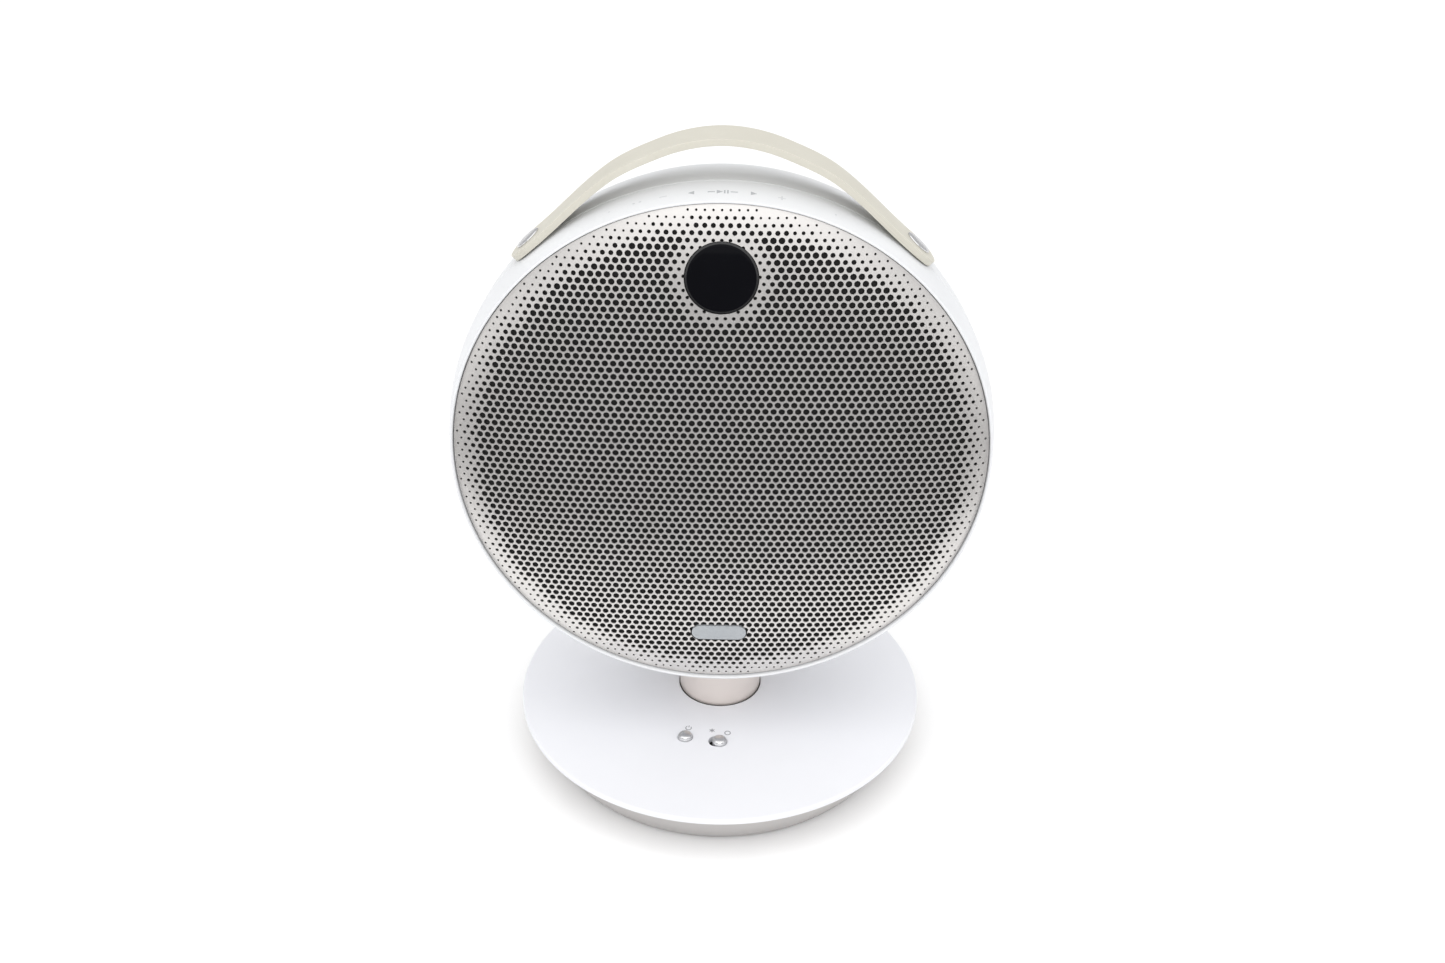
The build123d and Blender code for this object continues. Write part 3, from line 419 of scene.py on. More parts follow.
# ---------------------------------------------------------------- base: printed marks
# Pale grey pad-printed signs behind the controls: a power sign over the button, and a small sun
# and a ring over the two ends of the slot. The ink stands a few hundredths of a millimetre proud.
INK_LIFT, INK_SINK = 0.03 * MM, 0.05 * MM
printed_grey = finish_of("printed_grey", (0.27, 0.27, 0.29), (0.34, 0.34, 0.36), (0.5, 0.6), 3000, 0.01, 300)


def on_base(x, y):
    """Point of the plate's top in the base's own directions, in millimetres."""
    return base_right * x * MM + base_rear * y * MM + Vector((0, 0, plate_top * MM))


def ink_ring(name, place, outer, inner, gap_angle=0.0):
    """Flat printed ring, open at its rear over a gap angle."""
    bpy.ops.object.select_all(action="DESELECT")
    bpy.ops.mesh.primitive_circle_add(vertices=40, radius=outer * MM, location=place)
    mark = bpy.context.object
    mark.name = mark.data.name = name
    bpy.ops.object.transform_apply(location=True)
    bpy.ops.object.mode_set(mode="EDIT")
    bpy.ops.mesh.select_all(action="SELECT")
    bpy.ops.mesh.extrude_edges_move()
    bpy.ops.transform.resize(value=(inner / outer, inner / outer, 1), center_override=place)
    bpy.ops.mesh.select_all(action="DESELECT")
    bpy.ops.object.mode_set(mode="OBJECT")
    for face in mark.data.polygons:
        arm = face.center - place
        face.select = gap_angle > 0 and arm.normalized().dot(base_rear) > cos(gap_angle)
    bpy.ops.object.mode_set(mode="EDIT")
    bpy.ops.mesh.delete(type="FACE")
    bpy.ops.object.mode_set(mode="OBJECT")
    return mark


def ink_body(mark, body, finish):
    """Give a flat mark its thickness, with most of it let into the surface."""
    thicken(mark, INK_LIFT + INK_SINK, (INK_LIFT - INK_SINK) / (INK_LIFT + INK_SINK))
    face_out(mark)
    set_finish(mark, finish)
    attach(mark, body)


power_place = on_base(-7.84, -40.2)
power_sign = ink_ring("power_sign", power_place, 1.6, 1.15, radians(40))
bpy.ops.object.select_all(action="DESELECT")
bpy.ops.mesh.primitive_plane_add(size=1, location=power_place + base_rear * 1.15 * MM)
stroke = bpy.context.object
stroke.scale = (0.42 * MM, 1.3 * MM, 1)
stroke.rotation_euler = (0, 0, atan2(base_right.y, base_right.x))
bpy.ops.object.transform_apply(location=True, rotation=True, scale=True)
pick(stroke)
power_sign.select_set(True)
bpy.context.view_layer.objects.active = power_sign
bpy.ops.object.join()
ink_body(power_sign, "base", printed_grey)
ink_body(ink_ring("ring_sign", on_base(11.65, -40.0), 1.6, 1.1), "base", printed_grey)
sun_place = on_base(3.85, -39.7)
bpy.ops.object.select_all(action="DESELECT")
bpy.ops.mesh.primitive_circle_add(vertices=12, radius=1.7 * MM, fill_type="NGON", location=sun_place)
sun_sign = bpy.context.object
sun_sign.name = sun_sign.data.name = "sun_sign"
bpy.ops.object.transform_apply(location=True)
for number, point in enumerate(sun_sign.data.vertices):
    if number % 2:
        point.co = sun_place + (point.co - sun_place) * 0.4
ink_body(sun_sign, "base", printed_grey)

# ---------------------------------------------------------------- base: button and slide knob
# Two small knobs turned from aluminium bar, each a low dome on a short rim. The left one is the
# power button and the right one slides in its slot. Fine tool rings show on the domes.


def lathe_group():
    """Fine concentric tool marks about a point given by the Mapping in front of it."""
    group = bpy.data.node_groups.new("tool_rings", "ShaderNodeTree")
    face = group.interface
    face.new_socket("Vector", in_out="INPUT", socket_type="NodeSocketVector")
    face.new_socket("Spacing", in_out="INPUT", socket_type="NodeSocketFloat").default_value = 4000.0
    face.new_socket("Height", in_out="OUTPUT", socket_type="NodeSocketFloat")
    node, link = group.nodes.new, group.links.new
    source, result = node("NodeGroupInput"), node("NodeGroupOutput")
    rings = node("ShaderNodeTexWave")
    rings.wave_type = "RINGS"
    rings.rings_direction = "Z"
    rings.inputs["Distortion"].default_value = 0.4
    link(source.outputs["Vector"], rings.inputs["Vector"])
    link(source.outputs["Spacing"], rings.inputs["Scale"])
    link(rings.outputs["Fac"], result.inputs["Height"])
    return group


tool_rings = lathe_group()


def turned_metal(name, colour, tint, rough, centre, turn=(0, 0, 0), spacing=700, depth=0.004):
    """Turned metal finish with its tool rings centred on a piece."""
    finish = finish_of(name, colour, tint, rough, 1500, 0.004, 60, 1.0)
    node, link = finish.node_tree.nodes.new, finish.node_tree.links.new
    skin = finish.node_tree.nodes["Principled BSDF"]
    where, centred = node("ShaderNodeTexCoord"), node("ShaderNodeMapping")
    centred.vector_type = "TEXTURE"
    centred.inputs["Location"].default_value = centre
    centred.inputs["Rotation"].default_value = turn
    marks, over = node("ShaderNodeGroup"), node("ShaderNodeBump")
    marks.node_tree = tool_rings
    marks.inputs["Spacing"].default_value = spacing
    over.inputs["Strength"].default_value = 0.5
    over.inputs["Distance"].default_value = depth * MM
    link(where.outputs["Object"], centred.inputs["Vector"])
    link(centred.outputs["Vector"], marks.inputs["Vector"])
    link(marks.outputs["Height"], over.inputs["Height"])
    link(finish.node_tree.nodes["Bump"].outputs["Normal"], over.inputs["Normal"])
    link(over.outputs["Normal"], skin.inputs["Normal"])
    return finish


knob_rim = 1.0 * MM
knob_seat = plate_top * MM
knob_crown = knob_high.z - knob_seat - knob_rim
for name, node, body, place in (
    ("power_button_dome", "power_button", "button", button_place),
    ("slide_knob_dome", "mode_knob", "slider", knob_place),
):
    dome = [
        (knob_seat + knob_rim + knob_crown * sin(a), (knob_radius - 0.25 * MM) * cos(a) ** 0.8)
        for a in np.linspace(0, radians(86), 12)
    ]
    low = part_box(node)[0].z
    knob = turned(
        name,
        [(low, knob_radius), (knob_seat + knob_rim - 0.25 * MM, knob_radius),
         (knob_seat + knob_rim - 0.08 * MM, knob_radius - 0.08 * MM), *dome],
        56, (place.x, place.y, 0), ends=True,
    )
    shade(knob, 40)
    finish = turned_metal(
        name + "_metal", (0.66, 0.66, 0.67), (0.58, 0.58, 0.59), (0.16, 0.28), place, spacing=900,
    )
    set_finish(knob, finish)
    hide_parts(node)
    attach(knob, body)

# ---------------------------------------------------------------- neck
# A short aluminium tube, satin anodised in champagne. Its foot is stepped down to a spigot that
# turns in the base's bush, and its top is clamped in a bracket inside the head.
neck_low, neck_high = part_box("neck_tube")
neck_radius = (neck_high.x - neck_low.x) / 2 / MM
neck_foot, neck_top = neck_low.z / MM, neck_high.z / MM
neck_shoulder = plate_top - 0.4
neck = turned(
    "neck",
    millimetres([
        (neck_foot, 13), (neck_foot, 16), (neck_shoulder, 16), (neck_shoulder, neck_radius - 0.45),
        (neck_shoulder + 0.12, neck_radius - 0.15), (neck_shoulder + 0.45, neck_radius),
        (neck_top, neck_radius), (neck_top, neck_radius - 3), (neck_shoulder + 4, neck_radius - 3),
        (neck_shoulder + 4, 13), (neck_foot, 13),
    ]),
    ROUND, (0, 0, 0),
)
shade(neck, 30)
champagne = finish_of(
    "champagne_anodised", (0.86, 0.79, 0.74), (0.89, 0.825, 0.775), (0.30, 0.40), 1600, 0.012, 30, 0.6,
)
set_finish(neck, champagne)
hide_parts("neck_tube")
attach(neck, "head")

# ---------------------------------------------------------------- head: rear shell
# The deep back of the head is one satin white moulding, a flattened bowl with a hole underneath
# for the neck. It meets the front ring at a fine seam on the widest line of the head.
grille_low, grille_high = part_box("front_grille")
shell_low, shell_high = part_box("rear_shell")
GRILLE_SPAN = 33.6
pitch = (grille_high.x - grille_low.x) / 2 / GRILLE_SPAN
head_z = (grille_high.z + grille_low.z) / 2
DOME_SPAN, DOME_BOW, DOME_SHOULDER, DOME_ROLL = 34, 1.30, 0.21, 0.98


def dome_rise(radius):
    """How far the grille stands out of its rim plane at a radius."""
    t = radius / (DOME_SPAN * pitch)
    return pitch * (DOME_BOW * (1 - t**2) + DOME_SHOULDER * (1 - t**4) + DOME_ROLL * (1 - t**10))


rim_y = grille_low.y + dome_rise(0)
head_centre = Vector((0, rim_y, head_z))
head_radius = (shell_high.x - shell_low.x) / 2
seam_depth = 4.5 * pitch
bowl_depth = shell_high.y - rim_y - seam_depth
BOWL_POWER = 2 / 3.1
SEAM_CHAMFER = 0.3 * MM
BOWL_STEPS = (1.2, 3, 6, 9.5, 13, 17, 21, 25, *range(30, 80, 5), 79, 83, 86, 88.5, 90)
bowl = [
    (seam_depth + bowl_depth * sin(a) ** BOWL_POWER, head_radius * max(cos(a), 0) ** BOWL_POWER)
    for a in [radians(step) for step in BOWL_STEPS]
]
rear_bowl = turned(
    "rear_bowl",
    [
        (seam_depth, head_radius - SEAM_CHAMFER), (seam_depth + SEAM_CHAMFER, head_radius - 0.02 * MM),
        *bowl[:-1], (bowl[-1][0], 0.0),
    ],
    192, head_centre, upright=False,
)
SHELL_WALL = 2.8 * MM
thicken(rear_bowl, SHELL_WALL)
NECK_GAP, HOLE_FOOT, HOLE_TOP = 0.5, 30, 95
neck_hole = turned(
    "neck_hole", millimetres([(HOLE_FOOT, neck_radius + NECK_GAP), (HOLE_TOP, neck_radius + NECK_GAP)]),
    96, (0, 0, 0), ends=True,
)
cut_out(rear_bowl, neck_hole)
shade(rear_bowl, 35)
satin_white = finish_of(
    "satin_white", (0.71, 0.72, 0.735), (0.735, 0.745, 0.76), (0.34, 0.42), 1800, 0.012, 12,
)
set_finish(rear_bowl, satin_white)
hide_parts("rear_shell")
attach(rear_bowl, "head")

# ---------------------------------------------------------------- head: front ring
# The front of the casing is a tapered ring moulded in the same white, with a rounded lip round
# the grille and a ledge inside for the baffle.
LIP_BORE = grille_high.x / MM + 0.5
LIP_RADIUS = 119.35
OUTER_RADIUS = head_radius / MM
seam = seam_depth / MM


def ring_surface(depth):
    """Radius of the front ring's outside at a depth, in millimetres: a cone with a slight crown."""
    share = (depth + 1.3) / (seam - 0.35 + 1.3)
    return LIP_RADIUS + (OUTER_RADIUS - 0.05 - LIP_RADIUS) * share + 1.1 * share * (1 - share)


lip_middle, lip_thick = (LIP_BORE + LIP_RADIUS) / 2, (LIP_RADIUS - LIP_BORE) / 2
lip = [(-1.3 - 0.8 * sin(a), lip_middle - lip_thick * cos(a)) for a in np.linspace(0.15, pi - 0.15, 9)]
outside = [(d, ring_surface(d)) for d in np.linspace(-1.0, seam - 0.65, 12)]
front_band = turned(
    "front_band",
    millimetres([
        (9, LIP_BORE), (-1.2, LIP_BORE), *lip, *outside, (seam - 0.35, OUTER_RADIUS - 0.35),
        (seam - 0.35, OUTER_RADIUS - 4.1), (12, OUTER_RADIUS - 4.1), (12, 107), (9, 107), (9, LIP_BORE),
    ]),
    192, head_centre, upright=False,
)
shade(front_band, 32)
set_finish(front_band, satin_white)
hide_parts("front_ring")
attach(front_band, "head")

# ---------------------------------------------------------------- head: touch marks
# Faint grey printed signs on top of the front ring show where the touch controls lie: play and
# pause in the middle, back and forward beside it, minus and plus, and small holes at the sides.
MARK_DEPTH = 5.25
touch_grey = finish_of("touch_grey", (0.36, 0.37, 0.39), (0.44, 0.45, 0.47), (0.5, 0.6), 3000, 0.01, 300)
faint_grey = finish_of("faint_grey", (0.56, 0.57, 0.59), (0.60, 0.61, 0.63), (0.45, 0.55), 3000, 0.01, 300)


def touch_sign(name, shapes, degrees_right, finish):
    """Printed sign of flat shapes on the ring. Each shape is (sides, width, height, across, turn):
    a circle with so many corners, sized in millimetres, moved across, and turned about its middle."""
    parts = []
    for sides, width, tall, across, spin in shapes:
        bpy.ops.object.select_all(action="DESELECT")
        bpy.ops.mesh.primitive_circle_add(vertices=sides, radius=1, fill_type="NGON")
        shape = bpy.context.object
        bpy.ops.object.mode_set(mode="EDIT")
        bpy.ops.mesh.select_all(action="SELECT")
        bpy.ops.transform.rotate(value=-radians(spin), orient_axis="Z", center_override=(0, 0, 0))
        bpy.ops.object.mode_set(mode="OBJECT")
        size = shape.dimensions
        shape.scale = (width / size.x, tall / size.y, 1)
        shape.location = (across, 0, 0)
        bpy.ops.object.transform_apply(location=True, rotation=True, scale=True)
        parts.append(shape)
    sign = parts[0]
    pick(sign)
    if len(parts) > 1:
        for shape in parts:
            shape.select_set(True)
        bpy.ops.object.join()
    sign.name = sign.data.name = name
    for point in sign.data.vertices:
        depth = MARK_DEPTH + point.co.y
        radius = ring_surface(depth)
        angle = radians(degrees_right) + point.co.x / radius
        place = Vector((radius * sin(angle), depth, radius * cos(angle))) * MM
        point.co = head_centre + place
    ink_body(sign, "head", finish)


BAR = (4, 0.6, 2.6)
for name, shapes, place, finish in (
    ("play_sign", [
        (4, 3.0, 0.6, -4.6, 45), (3, 2.6, 2.8, -1.5, -90), (*BAR, 0.9, 45), (*BAR, 2.2, 45),
        (4, 3.0, 0.6, 4.8, 45),
    ], 0, touch_grey),
    ("back_sign", [(3, 2.6, 2.8, 0, 90)], -5.9, touch_grey),
    ("forward_sign", [(3, 2.6, 2.8, 0, -90)], 5.9, touch_grey),
    ("minus_sign", [(4, 3.2, 0.6, 0, 45)], -11.6, faint_grey),
    ("plus_sign", [(4, 3.2, 0.6, 0, 45), (4, 0.6, 3.2, 0, 45)], 11.6, faint_grey),
    ("link_sign", [(12, 1.2, 1.2, -1.4, 0), (12, 1.2, 1.2, 1.4, 0)], -16.9, faint_grey),
    ("left_voice_hole", [(12, 0.9, 0.9, 0, 0)], -22.7, faint_grey),
    ("right_voice_hole", [(12, 0.9, 0.9, 0, 0)], 22.7, faint_grey),
):
    touch_sign(name, shapes, place, finish)

# ---------------------------------------------------------------- head: perforated grille
# A thin steel sheet punched on a 60-degree pattern, then pressed to a dome with a rolled edge and
# sprayed champagne silver. The holes get smaller in steps towards the rim and round the window.
row = pitch * sqrt(3) / 2
window_low, window_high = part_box("status_window")
badge_low, badge_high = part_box("badge_plate")
window_rise = (window_low.z + window_high.z) / 2 - head_z
window_radius = (window_high.x - window_low.x) / 2
badge_rise = (badge_low.z + badge_high.z) / 2 - head_z
badge_half, badge_bore = (badge_high.x - badge_low.x) / 2, (badge_high.z - badge_low.z) / 2
WINDOW_GAP, BADGE_GAP = 0.25 * MM, 0.5 * MM
SKIRT_STEPS, SHEET_STEEL = (0.6, 1.4, 2.1), 0.6 * MM
HOLES = {"full": (0.405, 9), "medium": (0.315, 8), "small": (0.235, 8), "tiny": (0.16, 6), "none": (0.0, 6)}
RIM_STEPS = {"medium": 30.45, "small": 31.35, "tiny": 32.3, "none": 33.25}
WINDOW_STEPS = {"medium": 1.75, "small": 0.85}
CELLS_ACROSS, CELLS_UP = 71, 41


def hole_sizes(centres):
    """Name of the hole size for each lattice point (x, z), measured from the grille's centre."""
    radius = np.hypot(centres[:, 0], centres[:, 1]) / pitch
    window = (np.hypot(centres[:, 0], centres[:, 1] - window_rise) - window_radius) / pitch
    names = np.full(len(centres), "full", dtype=object)
    for size, rim_step in RIM_STEPS.items():
        names[(radius > rim_step) | (window < WINDOW_STEPS.get(size, -inf))] = size
    return names


def hole_cells(name, share, sides):
    """Lattice of six-sided cells over the whole grille, each with one hole, as a flat sheet."""
    bpy.ops.object.select_all(action="DESELECT")
    corner = Vector((-(CELLS_ACROSS // 2) * pitch, 0, -(CELLS_UP - 1) * row))
    upright = (pi / 2, 0, 0)
    bpy.ops.mesh.primitive_circle_add(
        vertices=6, radius=pitch / sqrt(3), fill_type="NOTHING" if share else "NGON",
        location=corner, rotation=upright,
    )
    cells = bpy.context.object
    cells.name = name
    bpy.ops.object.transform_apply(location=True, rotation=True)
    bpy.ops.object.mode_set(mode="EDIT")
    if share:
        bpy.ops.mesh.primitive_circle_add(
            vertices=sides, radius=share * pitch, location=corner, rotation=upright,
        )
        bpy.ops.mesh.select_all(action="SELECT")
        bpy.ops.mesh.bridge_edge_loops()
    bpy.ops.mesh.select_all(action="SELECT")
    bpy.ops.mesh.duplicate_move(TRANSFORM_OT_translate={"value": (pitch / 2, 0, row)})
    bpy.ops.mesh.select_all(action="DESELECT")
    bpy.ops.object.mode_set(mode="OBJECT")
    for label, count, step in (
        ("across", CELLS_ACROSS, (pitch, 0, 0)), ("up", CELLS_UP, (0, 0, 2 * row)),
    ):
        repeat = cells.modifiers.new(label, "ARRAY")
        repeat.use_relative_offset = False
        repeat.use_constant_offset = True
        repeat.constant_offset_displace = step
        repeat.count = count
        bpy.ops.object.modifier_apply(modifier=repeat.name)
    # Each face belongs to the cell whose middle is nearest, on an even line or on an odd one.
    spacing = np.array([pitch, row])
    seen = np.empty(len(cells.data.polygons) * 3)
    cells.data.polygons.foreach_get("center", seen)
    seen = seen.reshape(-1, 3)[:, [0, 2]] / spacing
    even = np.stack([np.round(seen[:, 0]), 2 * np.round(seen[:, 1] / 2)], 1)
    odd = np.stack([np.round(seen[:, 0] - 0.5) + 0.5, 2 * np.round((seen[:, 1] - 1) / 2) + 1], 1)
    nearer = np.linalg.norm((seen - even) * spacing, axis=1) < np.linalg.norm((seen - odd) * spacing, axis=1)
    cell_middles = np.where(nearer[:, None], even, odd) * spacing
    wrong = hole_sizes(cell_middles) != name
    wrong |= np.hypot(cell_middles[:, 0], cell_middles[:, 1]) > (GRILLE_SPAN + 0.6) * pitch
    cells.data.polygons.foreach_set("select", wrong)
    bpy.ops.object.mode_set(mode="EDIT")
    bpy.ops.mesh.delete(type="FACE")
    bpy.ops.object.mode_set(mode="OBJECT")
    return cells


sheets = [hole_cells(name, share, sides) for name, (share, sides) in HOLES.items()]
pick(sheets[0])
for cells in sheets:
    cells.select_set(True)
bpy.ops.object.join()
grille = bpy.context.object
grille.name = grille.data.name = "perforated_grille"
bpy.ops.object.mode_set(mode="EDIT")
bpy.ops.mesh.select_all(action="SELECT")
bpy.ops.mesh.remove_doubles(threshold=0.02 * MM)
bpy.ops.mesh.select_all(action="DESELECT")
bpy.ops.object.mode_set(mode="OBJECT")


def read_points(piece):
    points = np.empty(len(piece.data.vertices) * 3)
    piece.data.vertices.foreach_get("co", points)
    return points.reshape(-1, 3)


def clear_of(points, x, z, half, radius):
    """Move the points inside a pill-shaped cut-out to its edge, and say which ones they were."""
    spine = np.clip(points[:, 0] - x, -half, half) + x
    out = np.stack([points[:, 0] - spine, points[:, 2] - z], 1)
    far = np.maximum(np.hypot(out[:, 0], out[:, 1]), 1e-9)
    inside = far < radius
    points[inside, 0] = spine[inside] + out[inside, 0] / far[inside] * radius
    points[inside, 2] = z + out[inside, 1] / far[inside] * radius
    return inside


points = read_points(grille)
within = clear_of(points, 0, window_rise, 0, window_radius + WINDOW_GAP)
within |= clear_of(points, 0, badge_rise, badge_half - badge_bore, badge_bore + BADGE_GAP)
edge_radius = GRILLE_SPAN * pitch
reach = np.hypot(points[:, 0], points[:, 2])
beyond = reach > edge_radius - 0.12 * pitch
points[beyond, 0] *= edge_radius / reach[beyond]
points[beyond, 2] *= edge_radius / reach[beyond]
for face in grille.data.polygons:
    corners = list(face.vertices)
    face.select = bool(within[corners].all() or beyond[corners].all())
reach = np.hypot(points[:, 0], points[:, 2])
points[:, 1] = rim_y - dome_rise(reach)
points[:, 2] += head_z
grille.data.vertices.foreach_set("co", points.ravel())
bpy.ops.object.mode_set(mode="EDIT")
bpy.ops.mesh.delete(type="FACE")
bpy.ops.mesh.select_all(action="SELECT")
bpy.ops.mesh.dissolve_degenerate(threshold=0.01 * MM)
bpy.ops.mesh.select_all(action="SELECT")
bpy.ops.mesh.normals_make_consistent(inside=False)
bpy.ops.mesh.select_all(action="DESELECT")
bpy.ops.mesh.select_non_manifold(extend=False)
bpy.ops.object.mode_set(mode="OBJECT")
points = read_points(grille)
on_rim = np.hypot(points[:, 0], points[:, 2] - head_z) > edge_radius - 0.02 * MM
for link in grille.data.edges:
    link.select = link.select and bool(on_rim[link.vertices[0]] and on_rim[link.vertices[1]])
for point, kept in zip(grille.data.vertices, on_rim):
    point.select = point.select and bool(kept)
for face in grille.data.polygons:
    face.select = False
bpy.ops.object.mode_set(mode="EDIT")
bpy.ops.mesh.select_mode(type="EDGE")
for step in SKIRT_STEPS:
    bpy.ops.mesh.extrude_edges_move(TRANSFORM_OT_translate={"value": (0, step * MM, 0)})
bpy.ops.mesh.select_mode(type="VERT")
bpy.ops.object.mode_set(mode="OBJECT")
facing_out = sum(face.normal.y * face.area for face in grille.data.polygons)
if facing_out > 0:
    bpy.ops.object.mode_set(mode="EDIT")
    bpy.ops.mesh.select_all(action="SELECT")
    bpy.ops.mesh.flip_normals()
    bpy.ops.object.mode_set(mode="OBJECT")
thicken(grille, SHEET_STEEL)
shade(grille, 35)
sprayed_silver = finish_of(
    "sprayed_silver", (0.70, 0.68, 0.662), (0.73, 0.71, 0.69), (0.33, 0.40), 2600, 0.012, 20, 0.92,
)
set_finish(grille, sprayed_silver)
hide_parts("front_grille")
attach(grille, "head")

# ---------------------------------------------------------------- head: acoustic cloth
# Black acoustic cloth is stretched over the inside of the grille, so that only its fine weave
# shows through the holes.
CLOTH_GAP, CLOTH_THICK = 1.0 * MM, 0.4 * MM
cloth_low, cloth_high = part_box("grille_cloth")
cloth_radius = (cloth_high.x - cloth_low.x) / 2
steps = np.linspace(1.0, 0.04, 26)
cloth = turned(
    "acoustic_cloth",
    [(CLOTH_GAP - dome_rise(cloth_radius * t), cloth_radius * t) for t in (*steps, 0)],
    128, head_centre, upright=False,
)
thicken(cloth, CLOTH_THICK)
shade(cloth, 35)


def weave_group():
    """Plain weave seen from the front: two crossed sets of threads."""
    group = bpy.data.node_groups.new("plain_weave", "ShaderNodeTree")
    group.interface.new_socket("Height", in_out="OUTPUT", socket_type="NodeSocketFloat")
    node, link = group.nodes.new, group.links.new
    where, result = node("ShaderNodeTexCoord"), node("NodeGroupOutput")
    over, under, joined = node("ShaderNodeTexWave"), node("ShaderNodeTexWave"), node("ShaderNodeMath")
    over.bands_direction = "X"
    under.bands_direction = "Z"
    joined.operation = "MAXIMUM"
    for threads in (over, under):
        threads.inputs["Scale"].default_value = 800
        threads.inputs["Distortion"].default_value = 0.6
        link(where.outputs["Object"], threads.inputs["Vector"])
    link(over.outputs["Fac"], joined.inputs[0])
    link(under.outputs["Fac"], joined.inputs[1])
    link(joined.outputs["Value"], result.inputs["Height"])
    return group


black_cloth = finish_of(
    "black_cloth", (0.004, 0.004, 0.004), (0.008, 0.0075, 0.0075), (0.85, 0.95),
    900, 0.05, 60, relief=(weave_group(), 0.12),
)
set_finish(cloth, black_cloth)
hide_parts("grille_cloth")
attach(cloth, "head")

# ---------------------------------------------------------------- head: status window
# A smoked glossy disc closes a round cut-out near the top of the grille. It is moulded to the
# grille's dome, and its chamfered edge catches the light.
window_centre = head_centre + Vector((0, 0, window_rise))
DISC, DISC_FACE = window_radius / MM, -0.05
window = turned(
    "window_disc",
    millimetres([
        (2.0, DISC - 0.1), (0.9, DISC), (0.35, DISC), (0.12, DISC - 0.25), (-0.02, DISC - 0.9),
        (DISC_FACE, DISC - 1.1), *((DISC_FACE, radius) for radius in range(13, 0, -2)),
    ]),
    96, window_centre, upright=False, ends=True,
)


def follow_dome(piece):
    """Set a piece that was made flat on the rim plane out onto the grille's dome."""
    points = read_points(piece)
    reach = np.hypot(points[:, 0], points[:, 2] - head_z)
    points[:, 1] -= dome_rise(reach)
    piece.data.vertices.foreach_set("co", points.ravel())
    piece.data.update()


follow_dome(window)
shade(window, 20)
smoked_gloss = finish_of(
    "smoked_gloss", (0.0028, 0.0029, 0.0040), (0.0036, 0.0037, 0.0052), (0.04, 0.07), 300, 0.001, 20,
)
smoked_gloss.node_tree.nodes["Principled BSDF"].inputs["Specular IOR Level"].default_value = 0.07
smoked_edge = finish_of(
    "smoked_edge", (0.010, 0.010, 0.011), (0.014, 0.014, 0.015), (0.16, 0.24), 300, 0.002, 20,
)
set_finish(window, smoked_gloss)
window.data.materials.append(smoked_edge)
for face in window.data.polygons:
    if hypot(face.center.x, face.center.z - window_centre.z) > window_radius - 1.0 * MM:
        face.material_index = 1
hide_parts("status_window")
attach(window, "head")

# ---------------------------------------------------------------- head: badge
# A plain pill-shaped plate of bead-blasted aluminium sits proud in its slot near the bottom of
# the grille. It carries no mark. Two posts behind it hold it to the baffle.
badge = turned(
    "badge_pill",
    [
        (1.0 * MM, badge_bore), (0.0, badge_bore), (-0.22 * MM, badge_bore - 0.08 * MM),
        (-0.3 * MM, badge_bore - 0.3 * MM), (-0.3 * MM, badge_bore * 0.5),
    ],
    64, head_centre + Vector((0, 0, badge_rise)), upright=False, ends=True,
)
for point in badge.data.vertices:
    side = 1 if point.co.x > 0.001 * MM else -1 if point.co.x < -0.001 * MM else 0
    point.co.x += side * (badge_half - badge_bore)
follow_dome(badge)
shade(badge, 35)
bead_blasted = finish_of(
    "bead_blasted", (0.41, 0.432, 0.452), (0.44, 0.462, 0.48), (0.42, 0.55), 1500, 0.05, 200, 0.35,
)
set_finish(badge, bead_blasted)
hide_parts("badge_plate")
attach(badge, "head")

# ---------------------------------------------------------------- head: carrying strap
# A flat band of smooth cream leather with sealed edges and rounded tips. It lies on the shell at
# its two ends and rises in a low arch over the top, with room for the fingers under it.
strap_low, strap_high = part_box("strap")
strap_width = strap_high.y - strap_low.y
strap_middle = (strap_low.y + strap_high.y) / 2
STRAP_THICK, TIP_ANGLE, LIFT_ANGLE = 3.0 * MM, 46.0, 40.2
lay_radius = head_radius + 0.1 * MM + STRAP_THICK / 2
CROWN = ((47.8, 123.8, 36), (27.1, 134.4, 23), (0, 140.2, 0))
lift = radians(LIFT_ANGLE)
knots = [(Vector((lay_radius * sin(lift), lay_radius * cos(lift))), lift)]
knots += [(Vector((x, z)) * MM, radians(slope)) for x, z, slope in CROWN]
half_line = [
    Vector((lay_radius * sin(a), lay_radius * cos(a)))
    for a in np.linspace(radians(TIP_ANGLE), lift, 9)[:-1]
]
for (start, slope), (end, next_slope) in zip(knots, knots[1:]):
    pull = (end - start).length / 3
    leave = start + Vector((-cos(slope), sin(slope))) * pull
    arrive = end - Vector((-cos(next_slope), sin(next_slope))) * pull
    half_line += interpolate_bezier(start, leave, arrive, end, 14)[:-1]
half_line.append(knots[-1][0])
mid_line = [Vector((p.x, p.y)) for p in half_line]
mid_line += [Vector((-p.x, p.y)) for p in half_line[-2::-1]]
lengths = np.concatenate([[0], np.cumsum([(b - a).length for a, b in zip(mid_line, mid_line[1:])])])
strap_length = lengths[-1]
bpy.ops.object.select_all(action="DESELECT")
bpy.ops.mesh.primitive_grid_add(x_subdivisions=180, y_subdivisions=16, size=1, location=(0, 0, 0))
strap = bpy.context.object
strap.name = strap.data.name = "carrying_strap"
strap.scale = (strap_length, strap_width, 1)
bpy.ops.object.transform_apply(scale=True)
TIP_ROUND = 9.8 * MM
line_x, line_z = np.array([p.x for p in mid_line]), np.array([p.y for p in mid_line])
